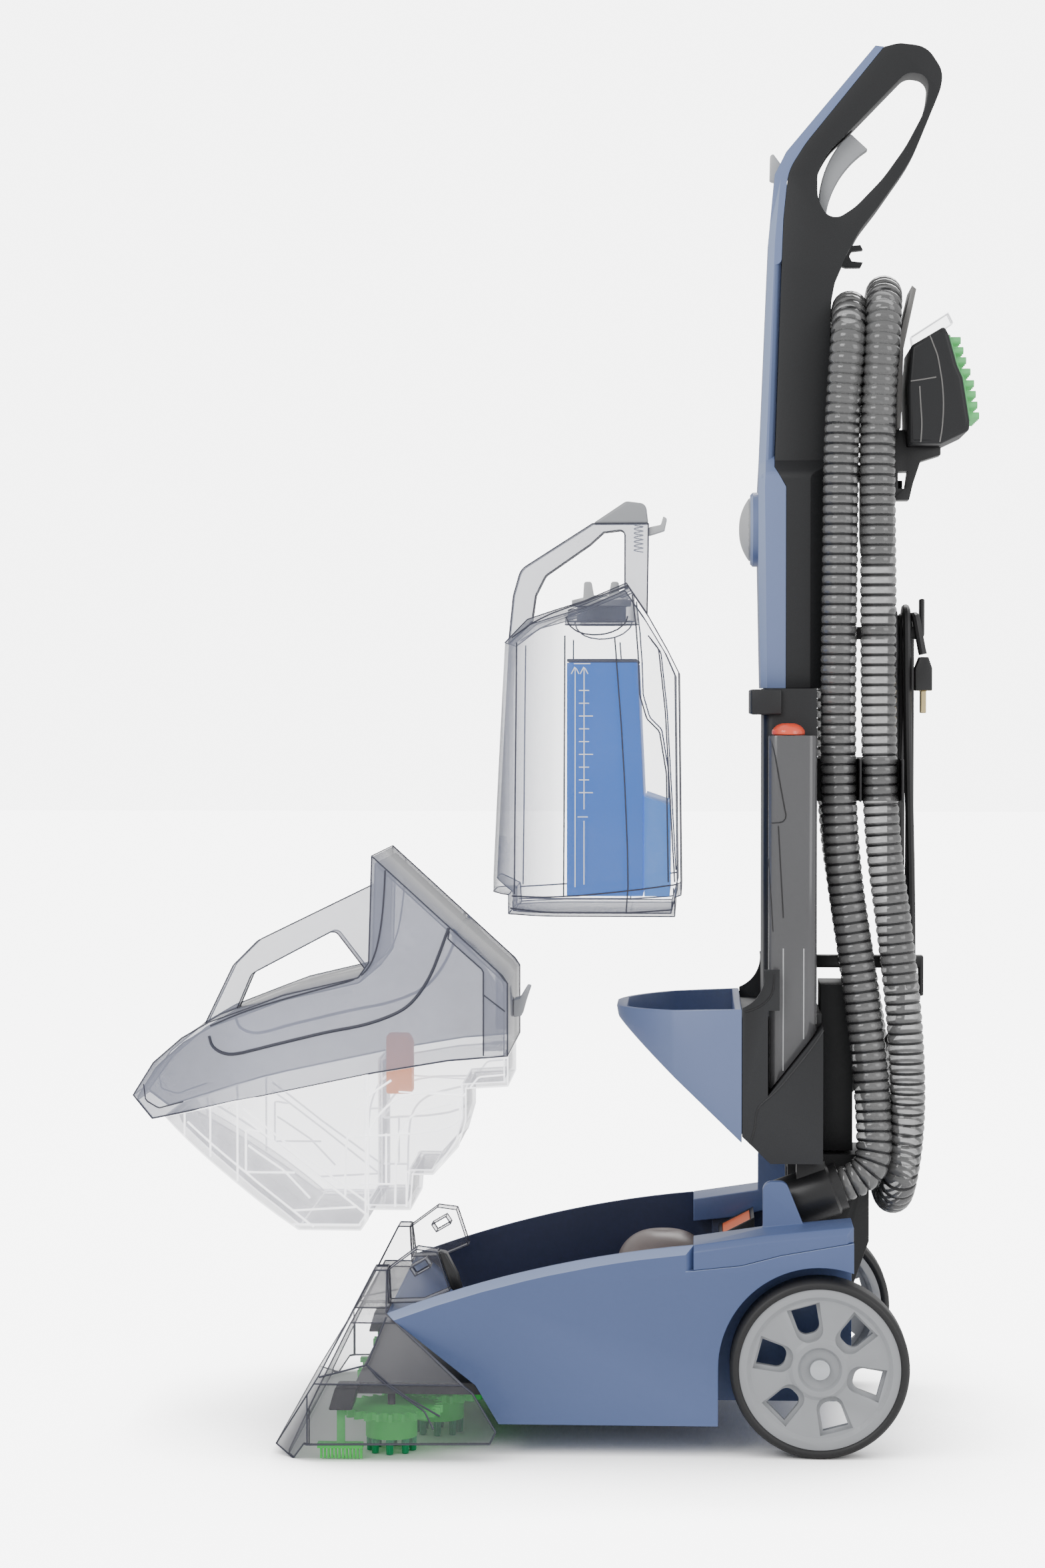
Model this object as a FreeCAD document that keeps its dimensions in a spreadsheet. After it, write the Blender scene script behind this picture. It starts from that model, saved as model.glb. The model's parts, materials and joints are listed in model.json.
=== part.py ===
"""Upright carpet cleaner with both tanks lifted off their seats.

Frame: +Z up, -X the front (nozzle) end, +X the back, Y across.  The origin is on the floor, below the middle
of the machine and its two tanks.  Side outlines are drawn from the wheel axle's vertical line, so every body
is placed axle_x behind the origin.  Millimetres.
"""
import FreeCAD, Part
import math
import os
import Sketcher

doc = FreeCAD.newDocument("CarpetCleaner")
sheet = doc.addObject("Spreadsheet::Sheet", "Sizes")
Vector = FreeCAD.Vector
LABELS = []


# ---------------------------------------------------------------- sizes

class Size(float):
    """A number that remembers the spreadsheet formula that it comes from."""

    def __new__(cls, value, formula=None):
        made = float.__new__(cls, value)
        made.formula = formula or f"{float(value):.6g}"
        return made

    def joined(self, sign, other, value, swapped=False):
        first, second = self.formula, Size(other).formula if not isinstance(other, Size) else other.formula
        if swapped:
            first, second = second, first
        return Size(value, f"({first} {sign} {second})")

    def __add__(self, other):
        return self.joined("+", other, float(self) + float(other))

    def __radd__(self, other):
        return self.joined("+", other, float(other) + float(self), True)

    def __sub__(self, other):
        return self.joined("-", other, float(self) - float(other))

    def __rsub__(self, other):
        return self.joined("-", other, float(other) - float(self), True)

    def __mul__(self, other):
        return self.joined("*", other, float(self) * float(other))

    def __rmul__(self, other):
        return self.joined("*", other, float(other) * float(self), True)

    def __truediv__(self, other):
        return self.joined("/", other, float(self) / float(other))

    def __neg__(self):
        return Size(-float(self), f"(0 - {self.formula})")


def size(alias, value, meaning):
    """One row of the sheet: name, value, meaning."""
    row = size.row = getattr(size, "row", 0) + 1
    sheet.set(f"A{row}", alias)
    sheet.set(f"B{row}", str(value))
    sheet.set(f"C{row}", meaning)
    sheet.setAlias(f"B{row}", alias)
    return Size(value, f"Sizes.{alias}")


axle_x = size("axle_x", 210.6, "axle line behind the origin")
axle_z = size("axle_z", 69, "axle above the floor, the tyre's radius")
axle_radius = size("axle_radius", 5, "steel axle")
tyre_depth = size("tyre_depth", 7, "rubber outside the hub")
wheel_width = size("wheel_width", 34, "tyre's width")
wheel_play = size("wheel_play", 5, "wheel face outside the base's side")
arch_gap = size("arch_gap", 9, "base side to tyre, round the wheel")
base_width = size("base_width", 300, "base across its sides")
base_clear = size("base_clear", 24, "base above the floor")
base_wall = size("base_wall", 3, "base floor and ends")
side_wall = size("side_wall", 9, "base side with its bevelled rim")
hood_width = size("hood_width", 360, "nozzle hood")
hood_wall = size("hood_wall", 3, "clear hood's wall")
brush_pitch = size("brush_pitch", 75, "gear centres, brush to brush")
brush_step = size("brush_step", 68, "brush to brush across the nozzle")
gear_teeth = 25
seam_z = size("seam_z", 592, "top of the lower column, foot of the handle")
column_half = size("column_half", 62, "half the upper column's width")
lower_half = size("lower_half", 100, "half the lower column's and the tray's width")
handle_half = size("handle_half", 28, "half the handle stem's width")
grip_half = size("grip_half", 17, "half the grip loop's width")
head_half = size("head_half", 44, "half the control housing's width")
tank_width = size("tank_width", 190, "both tanks")
tank_wall = size("tank_wall", 2.5, "tank walls")
hose_radius = size("hose_radius", 14.5, "suction hose, outside its rings")
cord_radius = size("cord_radius", 3.5, "mains cord")
fit = size("fit", 0.3, "clearance between pieces that seat on each other")
running = size("running", 0.06, "radial clearance on the axle and shafts")
sheet.recompute()

base_half = base_width / 2
tank_half = tank_width / 2
hood_half = hood_width / 2


# ---------------------------------------------------------------- building helpers

PLANES = {"XY": ("XY_Plane", 1), "XZ": ("XZ_Plane", -1), "YZ": ("YZ_Plane", 1)}


def bind(thing, name, value):
    """Set a property from a size: by its formula where it has one."""
    if isinstance(value, Size):
        thing.setExpression(name, value.formula)
        return
    thing.setExpression(name, f"{float(value):.6g}")


def body(label, x=0, y=0, z=0, turn=None):
    """A new body, placed from the axle's vertical line; turn is (axis, degrees)."""
    part = doc.addObject("PartDesign::Body", label)
    part.Label = label
    part.AllowCompound = True
    if turn:
        part.Placement.Rotation = FreeCAD.Rotation(turn[0], turn[1])
    bind(part, "Placement.Base.x", axle_x + x)
    bind(part, "Placement.Base.y", y)
    bind(part, "Placement.Base.z", z)
    LABELS.append(label)
    return part


def line_cross(a, b, c, d):
    """Where line a-b meets line c-d."""
    ux, uz = b[0] - a[0], b[1] - a[1]
    vx, vz = d[0] - c[0], d[1] - c[1]
    t = ((c[0] - a[0]) * vz - (c[1] - a[1]) * vx) / (ux * vz - uz * vx)
    return (a[0] + t * ux, a[1] + t * uz)


def inset(corners, wall):
    """A straight-sided outline moved inwards by the wall."""
    points = [(float(c[0]), float(c[1])) for c in corners]
    area = sum(a[0] * b[1] - b[0] * a[1] for a, b in zip(points, points[1:] + points[:1]))
    way = 1 if area > 0 else -1
    sides = []
    for a, b in zip(points, points[1:] + points[:1]):
        length = math.hypot(b[0] - a[0], b[1] - a[1])
        nx, nz = -(b[1] - a[1]) / length * way * wall, (b[0] - a[0]) / length * way * wall
        sides.append(((a[0] + nx, a[1] + nz), (b[0] + nx, b[1] + nz)))
    return [line_cross(*sides[i - 1], *sides[i]) for i in range(len(sides))]


def mirrored_x(corners):
    """The outline and its mirror image across the sketch's upright axis, as one closed ring of corners."""
    return list(corners) + [(-c[0],) + tuple(c[1:]) for c in reversed(corners)]


def turned(corners, degrees):
    """The outline turned about the sketch's origin, clockwise."""
    c, s = math.cos(math.radians(degrees)), math.sin(math.radians(degrees))
    return [(p[0] * c + p[1] * s, -p[0] * s + p[1] * c) + tuple(p[2:]) for p in corners]


def arc_through(a, m, b):
    """The arc from a through m to b, always running anticlockwise, and whether it starts at a."""
    circle = Part.Circle(Vector(a[0], a[1], 0), Vector(m[0], m[1], 0), Vector(b[0], b[1], 0))
    centre = circle.Center
    flat = Part.Circle(centre, Vector(0, 0, 1), circle.Radius)
    angles = [math.atan2(p[1] - centre.y, p[0] - centre.x) for p in (a, m, b)]
    forward = (angles[1] - angles[0]) % math.tau < (angles[2] - angles[0]) % math.tau
    first, last = (angles[0], angles[2]) if forward else (angles[2], angles[0])
    return Part.ArcOfCircle(flat, first, first + (last - first) % math.tau), forward


def add_loop(drawing, corners):
    """A closed loop: (x, z) corners, (x, z, radius) rounded ones, and ("via", x, z) for an arc between two."""
    if corners[0] == "circle":
        _, x, z, radius = corners
        made = drawing.addGeometry(Part.Circle(Vector(x, z, 0), Vector(0, 0, 1), radius), False)
        spot = drawing.addConstraint(Sketcher.Constraint("Radius", made, float(radius)))
        if isinstance(radius, Size):
            drawing.setExpression(f"Constraints[{spot}]", radius.formula)
        return
    stops, vias = [], {}
    for corner in corners:
        if corner[0] == "via":
            vias[len(stops) - 1] = corner[1:]
        else:
            stops.append(corner)
    count = len(stops)
    ins, outs, bends = [], [], []
    for i, stop in enumerate(stops):
        if len(stop) < 3:
            ins.append(stop)
            outs.append(stop)
            bends.append(None)
            continue
        before, after = stops[i - 1], stops[(i + 1) % count]
        here = Vector(stop[0], stop[1], 0)
        back = (Vector(before[0], before[1], 0) - here).normalize()
        ahead = (Vector(after[0], after[1], 0) - here).normalize()
        half = back.getAngle(ahead) / 2
        run = stop[2] / math.tan(half)
        middle = here + (back + ahead).normalize() * (stop[2] / math.sin(half) - stop[2])
        ins.append(tuple(here + back * run)[:2])
        outs.append(tuple(here + ahead * run)[:2])
        bends.append((middle.x, middle.y))
    ends = []
    for i, stop in enumerate(stops):
        if bends[i]:
            arc, forward = arc_through(ins[i], bends[i], outs[i])
            made = drawing.addGeometry(arc, False)
            ends.append((made, 1, made, 2) if forward else (made, 2, made, 1))
            if isinstance(stop[2], Size):
                spot = drawing.addConstraint(Sketcher.Constraint("Radius", made, float(stop[2])))
                drawing.setExpression(f"Constraints[{spot}]", stop[2].formula)
        start, finish = outs[i], ins[(i + 1) % count]
        if i in vias:
            arc, forward = arc_through(start, vias[i], finish)
            made = drawing.addGeometry(arc, False)
            ends.append((made, 1, made, 2) if forward else (made, 2, made, 1))
        else:
            made = drawing.addGeometry(Part.LineSegment(Vector(*start[:2], 0), Vector(*finish[:2], 0)), False)
            ends.append((made, 1, made, 2))
            if not bends[i]:
                bind_corner(drawing, made, stop)
    for one, other in zip(ends, ends[1:] + ends[:1]):
        drawing.addConstraint(Sketcher.Constraint("Coincident", one[2], one[3], other[0], other[1]))


def bind_corner(drawing, edge, corner):
    """Tie the start of an edge to the sheet wherever its coordinates come from there."""
    for kind, value in zip(("DistanceX", "DistanceY"), corner):
        if isinstance(value, Size) and abs(value) > 1e-6:
            spot = drawing.addConstraint(Sketcher.Constraint(kind, -1, 1, edge, 1, float(value)))
            drawing.setExpression(f"Constraints[{spot}]", value.formula)


def sketch(part, loops, plane, shift):
    """A sketch on one of the body's own planes; shift moves it along the plane's world axis."""
    role, way = PLANES[plane]
    drawing = part.newObject("Sketcher::SketchObject", f"{part.Label}_outline")
    support = next(face for face in part.Origin.OriginFeatures if face.Role == role)
    drawing.AttachmentSupport = [(support, "")]
    drawing.MapMode = "FlatFace"
    bind(drawing, "AttachmentOffset.Base.z", shift * way)
    single = loops[0] == "circle" or not isinstance(loops[0], list)
    for loop in ([loops] if single else loops):
        add_loop(drawing, loop)
    return drawing


def extrude(part, kind, loops, low, high, plane):
    drawing = sketch(part, loops, plane, (low + high) / 2)
    made = part.newObject(f"PartDesign::{kind}", f"{part.Label}_{kind}")
    made.Profile = drawing
    made.SideType = "Symmetric"
    bind(made, "Length", high - low)
    drawing.Visibility = False
    return made


def pad(part, loops, low, high, plane="XZ"):
    """Material between low and high along the axis square to the plane."""
    return extrude(part, "Pad", loops, low, high, plane)


def cut(part, loops, low, high, plane="XZ"):
    """Material removed between low and high; the volume has to shrink."""
    doc.recompute()
    before = part.Shape.Volume
    made = extrude(part, "Pocket", loops, low, high, plane)
    doc.recompute()
    if not part.Shape.Volume < before - 1e-6:
        raise ValueError(f"{part.Label}: a cut removed nothing")
    return made


FAR = 900


def trim(part, outline, plane, low=-FAR, high=FAR):
    """Keep only what lies inside the outline, seen square to the plane."""
    frame_corners = [(-FAR, -FAR), (FAR, -FAR), (FAR, FAR), (-FAR, FAR)]
    return cut(part, [frame_corners, outline], low, high, plane)


def spin(part, profile, plane="XZ", axis="V_Axis", kind="Revolution"):
    """A full turn of a profile about one of its sketch's axes."""
    drawing = sketch(part, profile, plane, 0)
    made = part.newObject(f"PartDesign::{kind}", f"{part.Label}_{kind}")
    made.Profile = drawing
    made.ReferenceAxis = (drawing, [axis])
    made.Angle = 360
    drawing.Visibility = False
    return made


def soften(part, radius, chosen, kind="Fillet"):
    """Round or bevel the edges whose middle the test picks."""
    doc.recompute()
    base = part.Tip
    names = []
    for number, edge in enumerate(base.Shape.Edges, 1):
        if chosen(edge.BoundBox.Center, edge.BoundBox):
            names.append(f"Edge{number}")
    made = part.newObject(f"PartDesign::{kind}", f"{part.Label}_{kind}")
    made.Base = (base, names)
    bind(made, "Radius" if kind == "Fillet" else "Size", radius)
    doc.recompute()
    return made


def hollowed(label, outer, inner):
    """One shell from two bodies: the outer shape less the inner one."""
    for part in (outer, inner):
        LABELS.remove(part.Label)
    made = doc.addObject("Part::Cut", label)
    made.Base = outer
    made.Tool = inner
    made.Label = label
    LABELS.append(label)
    return made


def joined(label, *bodies):
    """One moulding from several bodies that overlap."""
    for part in bodies:
        LABELS.remove(part.Label)
    made = doc.addObject("Part::MultiFuse", label)
    made.Shapes = list(bodies)
    made.Refine = True
    made.Label = label
    LABELS.append(label)
    return made


SIDES = (-1, 1)


def span(side, near, far):
    """The stretch from near to far on one side of the middle, lowest first."""
    return (near, far) if side > 0 else (-far, -near)


# ---------------------------------------------------------------- base

REAR = 26
RIM_FRONT = (-334, 108)
RIM_MIDDLE = ("via", -220, 143)
RIM_REAR = (-97, 163)
SLOPE_FOOT = (-265, 54)
SKIRT_FRONT = (-247, base_clear)
ARCH_FRONT = -(axle_z + arch_gap)
SEAM = [(-97, 144), (-60, 148), (-30, 156), (REAR, 166)]
YOKE_BAY = 92
AXLE_WALL = 105


def base_shell():
    """The tub: floor, bevelled sides, wheel arches and the walls that carry the axle."""
    part = body("base_shell")
    outline = [RIM_FRONT, SLOPE_FOOT, SKIRT_FRONT, (ARCH_FRONT, base_clear), (ARCH_FRONT, base_clear + 12),
               (REAR, base_clear + 12)] + SEAM[::-1] + [RIM_REAR, RIM_MIDDLE]
    pad(part, outline, -base_half, base_half)
    soften(part, 6, lambda c, b: abs(abs(c.y) - base_half) < 0.1 and b.ZMin > 107 and b.XMax < -96, "Chamfer")
    front = inset([RIM_FRONT, SLOPE_FOOT, SKIRT_FRONT, (ARCH_FRONT, base_clear), (ARCH_FRONT, 200),
                   (RIM_FRONT[0], 200)], base_wall)
    cut(part, front, side_wall - base_half, base_half - side_wall)
    floor = base_clear + 12 + base_wall
    cut(part, [(ARCH_FRONT - 6, floor), (REAR - base_wall, floor), (REAR - base_wall, 200),
               (ARCH_FRONT - 6, 200)], -AXLE_WALL, AXLE_WALL)
    cut(part, [(REAR - 9, 52), (REAR + 9, 52), (REAR + 9, 200), (REAR - 9, 200)], -YOKE_BAY, YOKE_BAY)
    for side in SIDES:
        well = span(side, base_half + wheel_play - wheel_width - 12, base_half + 1)
        cut(part, ("circle", 0, axle_z, axle_z + arch_gap), *well)
        cut(part, [(ARCH_FRONT, 10), (REAR + 9, 10), (REAR + 9, axle_z), (ARCH_FRONT, axle_z)], *well)
    cut(part, ("circle", 0, axle_z, axle_radius + running), -AXLE_WALL - 9, AXLE_WALL + 9)


def shoulder_covers():
    """The two covers behind the seam, each with the hollow ear beside the upright's foot."""
    part = body("shoulder_covers")
    crown = [(REAR, 178), (-43, 171), RIM_REAR]
    lower = [(x, z + fit) for x, z in SEAM]
    for side in SIDES:
        pad(part, lower + crown, *span(side, YOKE_BAY + 5, base_half))
    soften(part, 5, lambda c, b: abs(abs(c.y) - base_half) < 0.1 and b.ZMin > 162.9, "Chamfer")
    hollow = [(-94, 120), (REAR - 3, 120), (REAR - 3, 174), (-43, 167), (-94, 159)]
    for side in SIDES:
        cut(part, hollow, *span(side, YOKE_BAY + 8, base_half - side_wall))
    ear = [(-43, 165), (-43, 207, 7), (-25, 207, 7), (-8, 165)]
    for side in SIDES:
        pad(part, ear, *span(side, YOKE_BAY + 5, YOKE_BAY + 15))


def motor_group():
    """Suction motor under its domed cover, on the far side of the tub, with the fan on its shaft."""
    middle_x, middle_y, radius = -121.9, 82, Size(39)
    floor = base_clear + base_wall + fit
    cover = body("motor_cover", middle_x, middle_y, floor)
    top = 139 - floor
    spin(cover, [(radius - 2.5, 0), (radius, 0), (radius, top - 26), ("via", 30, top - 8), (4, top),
                 (0, top), (0, top - 2.5), (4, top - 2.5), ("via", 28.5, top - 10), (radius - 2.5, top - 26)])
    motor = body("suction_motor", middle_x, middle_y, floor)
    spin(motor, [(0, 0), (31, 0), (31, 52), (12, 56), (4, 56), (4, 74), (0, 74)])
    fan = body("impeller", middle_x, middle_y, floor)
    spin(fan, [(4 + running, 58), (32, 58), (32, 60), (10, 62), (10, 72), (4 + running, 72)])
    blade = [(-1, 11), (1, 11), (1, 31), (-1, 31)]
    for number in range(8):
        pad(fan, turned([(x, y - 1.5) for x, y in blade], 45 * number), 59, 68, "XY")


def filter_group():
    """Inlet box in front of the upright's foot, with a foam screen in its slanted mouth."""
    low, high = 32, 92
    box = body("filter_box")
    floor = base_clear + 12 + base_wall + fit
    pad(box, [(-76, floor), (-47, floor), (-47, 158), (-76, 143)], low, high)
    cut(box, [(-73, low + 3), (-50, low + 3), (-50, high - 3), (-73, high - 3)], floor + 3, 200, "XY")
    screen = body("filter_screen")
    inner = (low + 3 + fit, high - 3 - fit)
    pad(screen, [(-72.7, 140), (-50.3, 151.6), (-50.3, 155.6), (-72.7, 144)], *inner)


def pump():
    """Solution pump on the tub's floor beside the recovery tank."""
    part = body("pump", -200, 0, base_clear + base_wall + fit)
    pad(part, [(-30, 0), (30, 0), (30, 6), (22, 6), (22, 38, 8), (-22, 38, 8), (-22, 6), (-30, 6)], 100, 136)


def axle_and_caps():
    """Steel axle through both walls, with a push-on cap at each end."""
    end = base_half + 1
    axle = body("axle", z=axle_z)
    pad(axle, ("circle", 0, 0, axle_radius), -end, end)
    caps = body("axle_caps", z=axle_z)
    hole = end - 1.7
    for side in SIDES:
        pad(caps, ("circle", 0, 0, Size(7.8)), *span(side, hole, end + 3))
        cut(caps, ("circle", 0, 0, axle_radius), *span(side, hole - 1, end))


def wheel(name, side):
    """A grey hub with six windows and its black tyre, both turning on the axle."""
    turn = None if side > 0 else (Vector(0, 0, 1), 180)
    face = base_half + wheel_play
    hub_radius = axle_z - tyre_depth
    bore = axle_radius + running
    back = face - wheel_width
    hub = body(f"hub_{name}", z=axle_z, turn=turn)
    spin(hub, [(bore, back), (12, back), (12, face - 19), (52, face - 19), (56, back + 2), (hub_radius, back + 2),
               (hub_radius, face - 2), (hub_radius - 6, face - 2), (hub_radius - 9, face - 5), (24, face - 5),
               (21, face - 3), (17, face - 3), (15, face - 6.5), (bore, face - 6.5)], "XY")
    window = turned([(-10, 48), (-8, 27, 7), (8, 27, 7), (10, 48)], 15)
    recess = turned([(-13, 50), (-9.5, 22, 9), (9.5, 22, 9), (13, 50)], 15)
    through = cut(hub, window, face - 30, face)
    dish = cut(hub, recess, face - 12, face)
    ring = hub.newObject("PartDesign::PolarPattern", f"{hub.Label}_windows")
    ring.Originals = [through, dish]
    ring.Axis = (next(a for a in hub.Origin.OriginFeatures if a.Role == "Y_Axis"), [""])
    ring.Angle = 360
    ring.Occurrences = 6
    hub.Tip = ring
    tyre = body(f"tyre_{name}", z=axle_z, turn=turn)
    spin(tyre, [(hub_radius, back + 2), (hub_radius + 4, back), (axle_z, back + 4), (axle_z, face - 4),
                (axle_z - 2.5, face), (hub_radius + 1, face), (hub_radius, face - 2)], "XY")


# ---------------------------------------------------------------- nozzle

HOOD_SLOT = 98
DECK_Z = 46
FRONT_ROW = -331


def nozzle_hood():
    """Clear faceted hood over the brushes, with the suction lip at its foot."""
    outline = [(-419, 8), (-404, 0), (-395, 13), (-252, 15), (SKIRT_FRONT[0] - 0.6, base_clear),
               (SLOPE_FOOT[0] - 0.5, SLOPE_FOOT[1] - 0.2), (RIM_FRONT[0] - 0.5, RIM_FRONT[1]), (-336, 138),
               (-346, 138), (-383, 66)]
    outer = body("hood_outer")
    pad(outer, outline, -hood_half, hood_half)
    facet = [(-hood_half, -20), (hood_half, -20), (hood_half, 60), (122, 139), (-122, 139), (-hood_half, 60)]
    trim(outer, facet, "YZ")
    plan = [(-425, 34 - hood_half), (-392, -hood_half), (-200, -hood_half), (-200, hood_half), (-392, hood_half),
            (-425, hood_half - 34)]
    trim(outer, plan, "XY")
    cut(outer, [(-430, 104), (-325, 104), (-325, 150), (-430, 150)], -HOOD_SLOT, HOOD_SLOT)
    inner = body("hood_inner")
    pad(inner, [(-408, -10), (-408, 5), (-379.5, 64.5), (-361.5, 101), (-300, 101), (-230, 40), (-230, -10)],
        hood_wall - hood_half, hood_half - hood_wall)
    trim(inner, inset(facet, hood_wall), "YZ")
    trim(inner, inset(plan, hood_wall), "XY")
    hollowed("nozzle_hood", outer, inner)


def hood_latches():
    """Latch towers on the hood's two cheeks, and the lever on the near one."""
    frames = body("latch_towers")
    tower = [(-334.7, 112), (-335.95, 137), (-313, 154), (-297, 152), (-287, 122), (-308, 113)]
    for side in SIDES:
        pad(frames, tower, *span(side, 101, 120))
        cut(frames, [(-318, 139), (-306, 146), (-302, 140), (-314, 133)], *span(side, 100, 121))
    lever = body("nozzle_latch")
    pad(lever, [(-296.2, 152), (-290, 151), (-281, 134), (-277, 121), (-282, 119), (-286, 123)], -118, -103)


def spray_and_combs():
    """Edge spray nozzles and the fixed green combs below them, at both ends of the nozzle."""
    sprays = body("spray_nozzles")
    combs = body("edge_combs")
    inside = hood_half - hood_wall - fit
    for side in SIDES:
        pad(sprays, [(-376, 39), (-358, 39), (-354, 56), (-371, 56)], *span(side, inside - 30, inside))
        pad(combs, [(-385, 9), (-350, 9), (-350, 13), (-385, 13)], *span(side, inside - 12, inside - 4))
        pad(combs, [(-370, 13), (-364, 13), (-364, 39 - fit), (-370, 39 - fit)], *span(side, inside - 10, inside - 6))
        for number in range(12):
            tine_x = -383 + 2.8 * number
            pad(combs, [(tine_x, 1), (tine_x + 1.6, 1), (tine_x + 1.6, 9), (tine_x, 9)],
                *span(side, inside - 10, inside - 6))


def brush_places():
    """Centres of the five brushes, front row and rear row by turns, and the angle of each gear's first tooth."""
    step_x = math.sqrt(brush_pitch ** 2 - brush_step ** 2)
    places, tooth = [], 0.0
    pitch = 360 / gear_teeth
    for number in range(5):
        x = FRONT_ROW if number % 2 == 0 else FRONT_ROW + step_x
        places.append((x, brush_step * (number - 2), tooth))
        way = math.degrees(math.atan2(brush_step, step_x if number % 2 == 0 else -step_x))
        offset = (tooth - way) % pitch
        tooth = (way + 180 - offset + pitch / 2) % pitch
    return places


def brushes():
    """Five scrubbing brushes: tufts, hub, bell and a gear in mesh with the next one's."""
    pitch_radius = brush_pitch / 2
    root, tip = pitch_radius - 3.4, pitch_radius + 2.4
    pitch = 360 / gear_teeth
    flank, crest = 0.3 * pitch, 0.12 * pitch
    for number, (x, y, tooth) in enumerate(brush_places(), 1):
        part = body(f"brush_{number}", x, y)
        spin(part, [(0, 12), (20, 12), (20, 26), (23, 28), (root, 30), (root, 36), (3, 36), (3, 52), (0, 52)])
        teeth = []
        for index in range(gear_teeth):
            centre = tooth + index * pitch
            teeth += [(root - 0.5, centre - flank), (tip, centre - crest), (tip, centre + crest),
                      (root - 0.5, centre + flank)]
        ring = [(r * math.cos(math.radians(a)), r * math.sin(math.radians(a))) for r, a in teeth]
        pad(part, ring, 30, 36, "XY")
        for index in range(8):
            angle = math.radians(tooth + 45 * index)
            pad(part, ("circle", 16.5 * math.cos(angle), 16.5 * math.sin(angle), Size(2.6)), 0.4, 13, "XY")


def brush_deck():
    """Carrier above the brushes: the shafts turn in it and it closes against the base."""
    part = body("brush_deck")
    pad(part, [(-358, DECK_Z), (-261, DECK_Z), (-266, 54), (-267.3, 55), (-358, 55)], -146, 146)
    for x, y, _ in brush_places():
        cut(part, ("circle", x, y, 3 + running), DECK_Z - 1, DECK_Z + 6.5, "XY")


# ---------------------------------------------------------------- upright

HANK_X = (62, 79)
HANK_INNER = (8, 362, 646)
HANK_WALL = 14

UNDER = 220
LEDGE = 334
TRAY_BACK = -59


def pivot_yoke():
    """Two arms from the axle up to the column's foot; the whole upright leans back on them."""
    part = body("pivot_yoke")
    arm = [(-22, UNDER - fit), (-22, 118), (-14, axle_z), ("via", 0, axle_z - 14), (14, axle_z), (43, 150),
           (43, UNDER - fit)]
    for side in SIDES:
        pad(part, arm, *span(side, 22, 38))
    pad(part, [(-22, 206), (43, 206), (43, UNDER - fit), (-22, UNDER - fit)], -30, 30)
    cut(part, ("circle", 0, axle_z, axle_radius + running), -60, 60)


def column():
    """Lower column: hollow post, wide foot behind the tray and two thin cheeks beside the clean tank."""
    part = body("column")
    pad(part, [(TRAY_BACK, LEDGE), (TRAY_BACK, 241), (-37, UNDER), (4, UNDER), (4, LEDGE)], -lower_half, lower_half)
    pad(part, [(-42, LEDGE - 2), (0, LEDGE - 2), (0, seam_z - fit), (-42, seam_z - fit)], -column_half, column_half)
    cheek = [(TRAY_BACK, LEDGE - 6), (-30, LEDGE - 6), (-30, 372), (-42, 372), ("via", -47, 351),
             (TRAY_BACK, 342)]
    for side in SIDES:
        pad(part, cheek, *span(side, lower_half - 3, lower_half))
    soften(part, 8, lambda c, b: abs(abs(c.y) - column_half) < 0.1 and b.ZLength > 200 and c.x < -40)
    cut(part, [(-39, 340), (-39, 273), (4, 327), (4, 340)], -lower_half - 1, -column_half)
    cut(part, [(-39, LEDGE - 20), (-55, LEDGE - 20), (-55, 245), (-35, UNDER + 4), (1, UNDER + 4), (-3, 300),
               (-3, seam_z - 4), (-39, seam_z - 4)], -column_half + 4, column_half - 4)


def rear_housing():
    """Cord housing behind the column's foot, with the slanted gland that the cord leaves."""
    part = body("housing_block")
    pad(part, [(4 + fit, 222), (30, 222), (30, 355), (4 + fit, 355)], -32, 32)
    gland = body("gland", 33, 0, 278, (Vector(0, 1, 0), 45))
    spin(gland, [(0, -12), (8, -12), (8, 1.5), (6, 6), (0, 6)])
    joined("rear_housing", part, gland)


def tray():
    """Blue funnel in front of the column: the clean tank stands on its rim."""
    side = [(-159, 338), (-157, 329), (TRAY_BACK - fit, 236), (TRAY_BACK - fit, 341)]
    nose = [(TRAY_BACK - fit, -lower_half), (-112, 8 - lower_half), ("via", -148, 45 - lower_half), (-160, -12),
            (-160, 12), ("via", -148, lower_half - 45), (-112, lower_half - 8), (TRAY_BACK - fit, lower_half)]
    outer = body("tray_outer")
    pad(outer, side, -lower_half, lower_half)
    trim(outer, nose, "XY")
    inner = body("tray_inner")
    pad(inner, [(-150, 345), (-150, 328), (-65, 245), (-65, 345)], 3 - lower_half, lower_half - 3)
    plan = [(-62, 3 - lower_half), (-111, 11 - lower_half), ("via", -145, 48 - lower_half), (-157, -12),
            (-157, 12), ("via", -145, lower_half - 48), (-111, lower_half - 11), (-62, lower_half - 3)]
    trim(inner, plan, "XY")
    hollowed("tray", outer, inner)


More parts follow.
